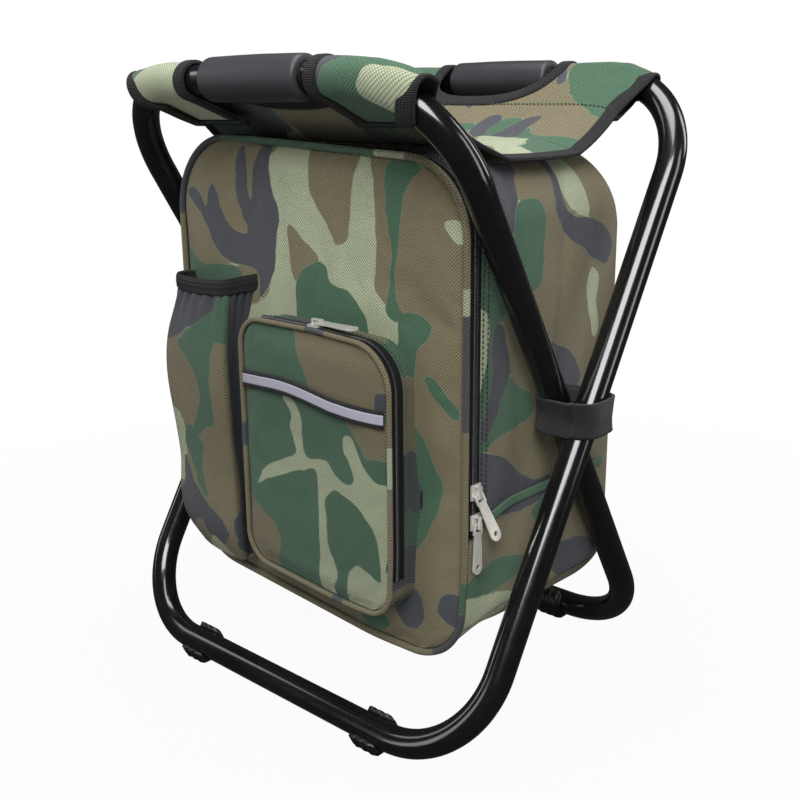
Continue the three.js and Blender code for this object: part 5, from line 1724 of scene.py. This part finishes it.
@dataclass
class BottlePocket:
    """The open pocket beside the zipped one: a full cloth cup, gathered by an elastic band round its mouth.

    Its plan at each of five heights has seven points, from the left seam round the front to a pleat at the
    right seam.
    """

    rear: float = -82.4
    band: float = 9.0
    plans: tuple[tuple[float, tuple[tuple[float, float], ...]], ...] = (
        (79, ((-117, -83), (-117, -89), (-111, -98), (-90, -103), (-60, -102), (-62, -92), (-47.5, -83))),
        (95, ((-121, -83), (-123, -93), (-118, -105), (-92, -111), (-55, -109), (-66, -90), (-47.5, -83))),
        (150, ((-124, -83), (-126, -94), (-121, -107), (-92, -112), (-57, -110), (-71, -89), (-47.5, -83))),
        (247, ((-125, -83), (-129, -94), (-125, -107), (-95, -113), (-62, -110), (-70, -90), (-47.5, -83))),
        (281.5, ((-120, -83), (-123, -92), (-116, -101), (-93, -105), (-68, -102), (-58, -93), (-47.5, -83))))

    @property
    def top(self) -> float:
        """Height of the mouth."""
        return self.plans[-1][0]

    def shape(self, u: Array, z: Array) -> Array:
        """The cup's wall: a smooth curve through the plan points, then through the heights, with gathers.

        Gathers are uneven waves along the plan that grow towards the mouth, over a slow slackness.

        Args:
            u: Share of the way from the left seam to the right one.
            z: Heights.

        Returns:
            A grid, u by z.
        """
        nets = np.array([plan for _, plan in self.plans], float)
        levels = np.array([level for level, _ in self.plans], float)
        curves = through(np.linspace(0, 1, nets.shape[1]), np.moveaxis(nets, 1, 0), u)
        wall = np.moveaxis(through(levels, np.moveaxis(curves, 1, 0), z), 0, 1)
        ahead = unit(np.gradient(wall, axis=0))
        out = joined(ahead[..., 1], -ahead[..., 0])
        t = (z - levels[0]) / (levels[-1] - levels[0])
        run = 120 * u[:, None]
        phase = run / 8.4 * 2 * np.pi + 2.4 * lattice_noise(joined(run, 0.0), 14.0, 93)
        below = self.top - z
        near = np.exp(-below / 10) * (1 - np.exp(-below / 3))
        slow = 1.1 * np.sin(phase * 0.43) * np.exp(-below / 45) * smooth(below / 12)
        slack = 2.0 * lattice_noise(joined(run, 0.45 * z), 19.0, 95) * np.sin(np.pi * t)
        lift = 2.4 * np.sin(phase) * near + slow + slack
        wall = wall + out * (lift * smooth(np.minimum(u, 1 - u) * 12)[:, None])[..., None]
        rise = (10.0 * (u - 0.5) - 3.0 * np.sin(np.pi * u))[:, None] * smooth((t - 0.5) * 2)
        return hang(joined(wall[..., 0], np.minimum(wall[..., 1], self.rear), z + rise))

    def build(self) -> None:
        """Make the cup, its floor, its elastic band and the dark tape behind its mouth."""
        u = np.linspace(0, 1, 240)
        grid = self.shape(u, np.linspace(self.plans[0][0], self.top, 150))
        step = np.diff(grid[..., :2], axis=0)
        turned = np.maximum(step[..., 0], 0.5 * np.linalg.norm(step, axis=-1))
        ahead = np.where(u[1:, None] > 0.5, turned, step[..., 0])
        across = grid[:1, :, 0] + np.concatenate([0 * ahead[:1], np.cumsum(ahead, 0)])
        fields = BOTTLE_PRINT.fields(joined(across, grid[..., 2]))
        cup = thicken(build_surface("bottle_pocket_cloth", grid, fields=fields, flip=True), 1.1)
        rim = grid[:, :1]
        flat = rim * [1, 0, 1] + (self.rear + 0.2) * Y_AXIS
        under = flat + (rim - flat) * np.linspace(0, 1, 14)[None, :, None]
        floor = build_surface("bottle_pocket_floor", under, fields=BOTTLE_PRINT.fields(under[..., :2]))
        thicken(floor, 1.1)
        mouth = grid[:, -1]
        ahead = tangents(mouth)
        out = unit(joined(ahead[:, 1], -ahead[:, 0], 0.0))
        t = np.linspace(0, 1, 19)
        rib = 0.5 + 0.45 * np.abs(np.sin(3 * np.pi * t)) + 0.5 * np.sin(np.pi * t)
        ring = mouth[:, None] + (self.band * t - 1)[:, None] * Z_AXIS + out[:, None] * rib[:, None]
        elastic = thicken(build_surface("bottle_elastic_band", ring, flip=True), 2.4)
        x = np.linspace(-120, -50, 50)
        path = hang(joined(x, self.rear - 1.2, 288 + 3 * np.sin(x / 22)))
        lip = build_swept("bottle_mouth_tape", path, Z_AXIS, -Y_AXIS, tape_profile(13.0, 1.6))
        cloths = (SHADED_POCKET_CAMO.dress(cup, "bottle_pocket"), SHADED_POCKET_CAMO.dress(floor))
        mount("front_panel", (*cloths, BINDING.dress(elastic, "bottle_elastic"), BINDING.dress(lip)))


@dataclass
class FrameStrap:
    """A webbing strap on the bag's side that loops round both legs at the pivot and closes on itself."""

    side: Side
    inside: float = 137.2
    outside: float = 181.6
    waist: float = 11.6
    spread: float = 0.589
    squareness: float = 0.62
    width: float = 22.5
    thickness: float = 1.8
    height: float = 218.5
    pivot: float = 217.07

    def layer(self, name: str, start: float, stop: float, lift: float, low: float) -> Piece:
        """One turn of the strap: a superellipse round the legs, which spread above and below the pivot.

        Args:
            name: The piece's name.
            start: Angle of the first end, 0 being straight out from the bag.
            stop: Angle of the last end.
            lift: How far the layer stands off the legs.
            low: How far it hangs below the strap's height.

        Returns:
            The dressed piece.
        """
        angle = np.linspace(start, stop, 120)[:, None]
        z = self.height - low + np.linspace(-0.5, 0.5, 15) * self.width
        half = self.waist + self.spread * np.sqrt((z - self.pivot) ** 2 + 9)
        cos, sin = np.cos(angle), np.sin(angle)
        depth = (self.outside - self.inside) / 2 + lift
        x = (self.inside + self.outside) / 2 + depth * signed_power(cos, self.squareness)
        y = (half + lift) * signed_power(sin, self.squareness)
        edge = 0.35 * np.cos(np.linspace(-np.pi, np.pi, 15))
        grid = joined(self.side.value * (x + edge * cos), y + edge * sin, z)
        out = joined(self.side.value * cos, sin, 0.0)
        strap = build_surface(name, grid, flip=faces_inwards(grid, out))
        thicken(strap, self.thickness, 0.0)
        return WEBBING.dress(strap)

    def build(self) -> None:
        """The loop that is sewn to the bag, and the free end that laps over its outside."""
        name = f"frame_strap_{self.side.word}"
        loop = self.layer(f"{name}_webbing", -np.pi, np.pi, lift=0.0, low=1.6)
        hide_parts(name)
        lap = self.layer(f"{name}_lap", -1.3, 2.6, lift=2.1, low=0.0)
        mount("bag", (loop, lap))


@dataclass
class SlipPocket:
    """A flat cloth pocket on the bag's side, a little open at its hemmed top."""

    side: Side
    rear: float = 70.0
    bottom: float = 88.0
    top: float = 166.0
    hem: float = 5.0
    clear: float = 2.0

    def front(self, z: Array) -> Array:
        """The front seam: at the panel below the zip's end, and behind the zip above it."""
        end = ZIP_END + ZIP_END_SKEW * self.side.value * BAG.right
        return -78.4 + 10.8 * smooth((z - end + 4) / 6)

    def sheet(self, y: Array, z: Array) -> Array:
        """The pocket's face: flat on the bag at its seams, standing off towards the hem, with one pleat."""
        u = (y - self.front(z)) / (self.rear - self.front(z))
        t = np.clip((z - self.bottom) / (self.top - self.bottom), 0, 1)
        open_by = 3.0 * t**1.5 * np.sin(np.pi * np.clip(u, 0, 1)) ** 0.7
        pleat = 1.6 * np.exp(-((y - 44) / 4.5) ** 2) * t
        sewn = 0.9 * smooth(u * 12)
        wall = BAG.limits(z)[1] + 0.4
        ripple = 0.5 * lattice_noise(joined(y, z), 18.0, 97) * t * smooth(u * 8)
        x = np.minimum(wall + sewn + open_by - pleat + ripple, BAG.right + self.clear)
        return hang(joined(self.side.value * x, y, z))

    def build(self) -> None:
        """Make the pocket's cloth, its hem and the hem's stitches."""
        u, z = np.meshgrid(np.linspace(0, 1, 70), np.linspace(self.bottom, self.top, 44))
        y = self.front(z) + (self.rear - self.front(z)) * u
        grid = self.sheet(y, z)
        flat = grid[..., 1:]
        printed = RIGHT_SIDE_PRINT if self.side is Side.RIGHT else WoodlandPrint(KHAKI, seed=151)
        name = f"slip_pocket_{self.side.word}"
        flip = self.side is Side.LEFT
        out = self.side.value * X_AXIS
        cloth = build_surface(f"{name}_cloth", grid, uv=flat * MM, fields=printed.fields(flat), flip=flip)
        thicken(cloth, 1.0)
        begin = float(self.front(np.array(self.top)))
        y_hem, z_hem = np.meshgrid(np.linspace(begin, self.rear, 70),
                                   np.linspace(self.top - self.hem, self.top + 0.6, 7))
        fields = WoodlandPrint(GREEN).fields(joined(y_hem, z_hem))
        hem = build_surface(f"{name}_hem", self.sheet(y_hem, z_hem) + out * 0.6, fields=fields, flip=flip)
        thicken(hem, 1.8)
        line_y = np.linspace(begin + 1, self.rear - 1, 80)
        line = self.sheet(line_y, np.full_like(line_y, self.top - self.hem + 1.6))
        stitches = stitch_row(f"{name}_stitches", line + out * 0.8, out)
        mount("bag", (CAMO.dress(cloth, name), CAMO.dress(hem), THREAD.dress(stitches)))


def dress_hardware() -> None:
    """Put metal and plastic on the small solids that keep their own shape."""
    zips = [f"{place}_{part}" for place in ("lower", "upper", "pocket") for part in ("slider", "pull")]
    finishes = {NICKEL: zips,
                ZINC: ("front_joint_plug", "rear_joint_plug", "pivot_rivet_left", "pivot_rivet_right"),
                FOOT_PLASTIC: ("pivot_washer_left", "pivot_washer_right")}
    for finish, names in finishes.items():
        for name in names:
            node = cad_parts[name]
            node.data.materials.clear()
            node.data.materials.append(finish.material())
            LOG.info("%s keeps its solid", name)


# The studio

@dataclass
class Studio:
    """Pale floor, white surround, soft boxes, and the camera at the photograph's viewing angle."""

    eye: tuple[float, float, float] = (532.7, -572.2, 416.3)
    target: tuple[float, float, float] = (12.6, -5.8, 200.1)
    roll_deg: float = -0.49
    lens: float = 48.642
    floor_half: float = 6.0
    surround: float = 0.17
    dark_room: float = 0.04

    def aim(self, data: bpy.types.ID, place: Vector, target: Vector, roll_deg: float = 0.0) -> Piece:
        """Put a camera or a lamp at a place, turned to a target and then about its own axis."""
        thing = bpy.data.objects.new(data.name, data)
        thing.location = place
        thing.rotation_mode = "QUATERNION"
        look = (target - place).to_track_quat("-Z", "Y")
        thing.rotation_quaternion = look @ Quaternion((0, 0, 1), np.radians(roll_deg))
        bpy.context.scene.collection.objects.link(thing)
        return thing

    def build_camera(self) -> None:
        """A camera at the eye that looks at the target, turned a little about its own axis."""
        data = bpy.data.cameras.new("camera")
        data.sensor_width, data.lens = 36.0, self.lens
        data.clip_start, data.clip_end = 0.01, 50.0
        eye, target = Vector(self.eye) * MM, Vector(self.target) * MM
        bpy.context.scene.camera = self.aim(data, eye, target, self.roll_deg)

    def build_floor(self) -> None:
        """A pale floor that takes a faint shadow near the stool and turns white to the camera farther out."""
        half = self.floor_half / MM
        corner = np.array([[[-half, -half, 0], [half, -half, 0]], [[-half, half, 0], [half, half, 0]]], float)
        floor = build_surface("floor", corner, flip=True)
        material = bpy.data.materials.new("studio_floor")
        material.use_nodes = True
        bench = NodeBench(material.node_tree)
        surface = material.node_tree.nodes["Principled BSDF"]
        grey = (0.28, 0.28, 0.28, 1)
        bench.feed(surface, {"Base Color": grey, "Roughness": 0.9, "Specular IOR Level": 0.1})
        rays = bench.add("LightPath").outputs
        place = bench.add("TexCoord").outputs["Object"]
        away = bench.add("VectorMath", {0: place}, operation="LENGTH").outputs["Value"]
        bright = bench.math("MULTIPLY", rays["Is Camera Ray"], bench.span(away, 0.2, 0.8, 0.955, 1.0))
        share = bench.math("MAXIMUM", bright, rays["Is Glossy Ray"])
        glow = bench.math("MAXIMUM", rays["Is Camera Ray"], self.dark_room)
        white = bench.add("Emission", {"Color": (1, 1, 1, 1), "Strength": glow}).outputs[0]
        mixed = bench.add("MixShader", {0: share, 1: surface.outputs[0], 2: white}).outputs[0]
        bench.feed(material.node_tree.nodes["Material Output"], {"Surface": mixed})
        floor.data.materials.append(material)

    def build_world(self) -> None:
        """White to the camera, dark in reflections, and a soft grey light on everything else."""
        world = bpy.data.worlds.new("studio")
        bpy.context.scene.world = world
        world.use_nodes = True
        bench = NodeBench(world.node_tree)
        rays = bench.add("LightPath").outputs
        seen = bench.math("MAXIMUM", rays["Is Camera Ray"], rays["Is Transmission Ray"])
        mirrored = bench.math("MULTIPLY", rays["Is Glossy Ray"], self.dark_room)
        diffuse = bench.math("MULTIPLY", rays["Is Diffuse Ray"], self.surround)
        strength = bench.math("MAXIMUM", bench.math("MAXIMUM", seen, mirrored), diffuse)
        bench.feed(world.node_tree.nodes["Background"], {"Strength": strength, "Color": (1, 1, 1, 1)})

    def build_lights(self) -> None:
        """Soft boxes: a wide one over the camera, a top light, one far right, a rim and two left fills."""
        boxes = (("wide", (1.2, -1.45, 1.85), 1.5, 1.3, 77.0), ("top", (0.0, -0.1, 1.7), 1.1, 0.8, 22.0),
                 ("far_right", (2.0, 0.75, 0.8), 0.5, 1.5, 10.0), ("rim", (0.9, 1.7, 1.2), 0.5, 1.2, 8.0),
                 ("left", (-1.7, -0.9, 1.0), 0.4, 1.4, 5.0), ("low_left", (-0.7, -1.8, 0.4), 0.6, 0.8, 5.0))
        for name, place, width, height, power in boxes:
            data = bpy.data.lights.new(name, "AREA")
            data.shape, data.size, data.size_y, data.energy = "RECTANGLE", width, height, power
            self.aim(data, Vector(place), Vector((0, 0, 0.22)))

    def build(self) -> None:
        """Make the whole studio."""
        self.build_camera()
        self.build_floor()
        self.build_world()
        self.build_lights()
        bpy.context.scene.view_settings.view_transform = "Standard"


def main() -> None:
    """Build the studio, then the stool's pieces in order."""
    logging.basicConfig(level=logging.INFO, format="%(message)s")
    Studio().build()
    loops = {End.FRONT: FrameLoop(End.FRONT, 149.0), End.REAR: FrameLoop(End.REAR, 170.0)}
    for loop in loops.values():
        loop.build()
    BagBody().build()
    FrontPanel().build()
    FrontPocket().build()
    BottlePocket().build()
    for side in Side:
        FrameStrap(side).build()
        SlipPocket(side).build()
    Seat(loops).build()
    dress_hardware()


if __name__ == "__main__":
    main()
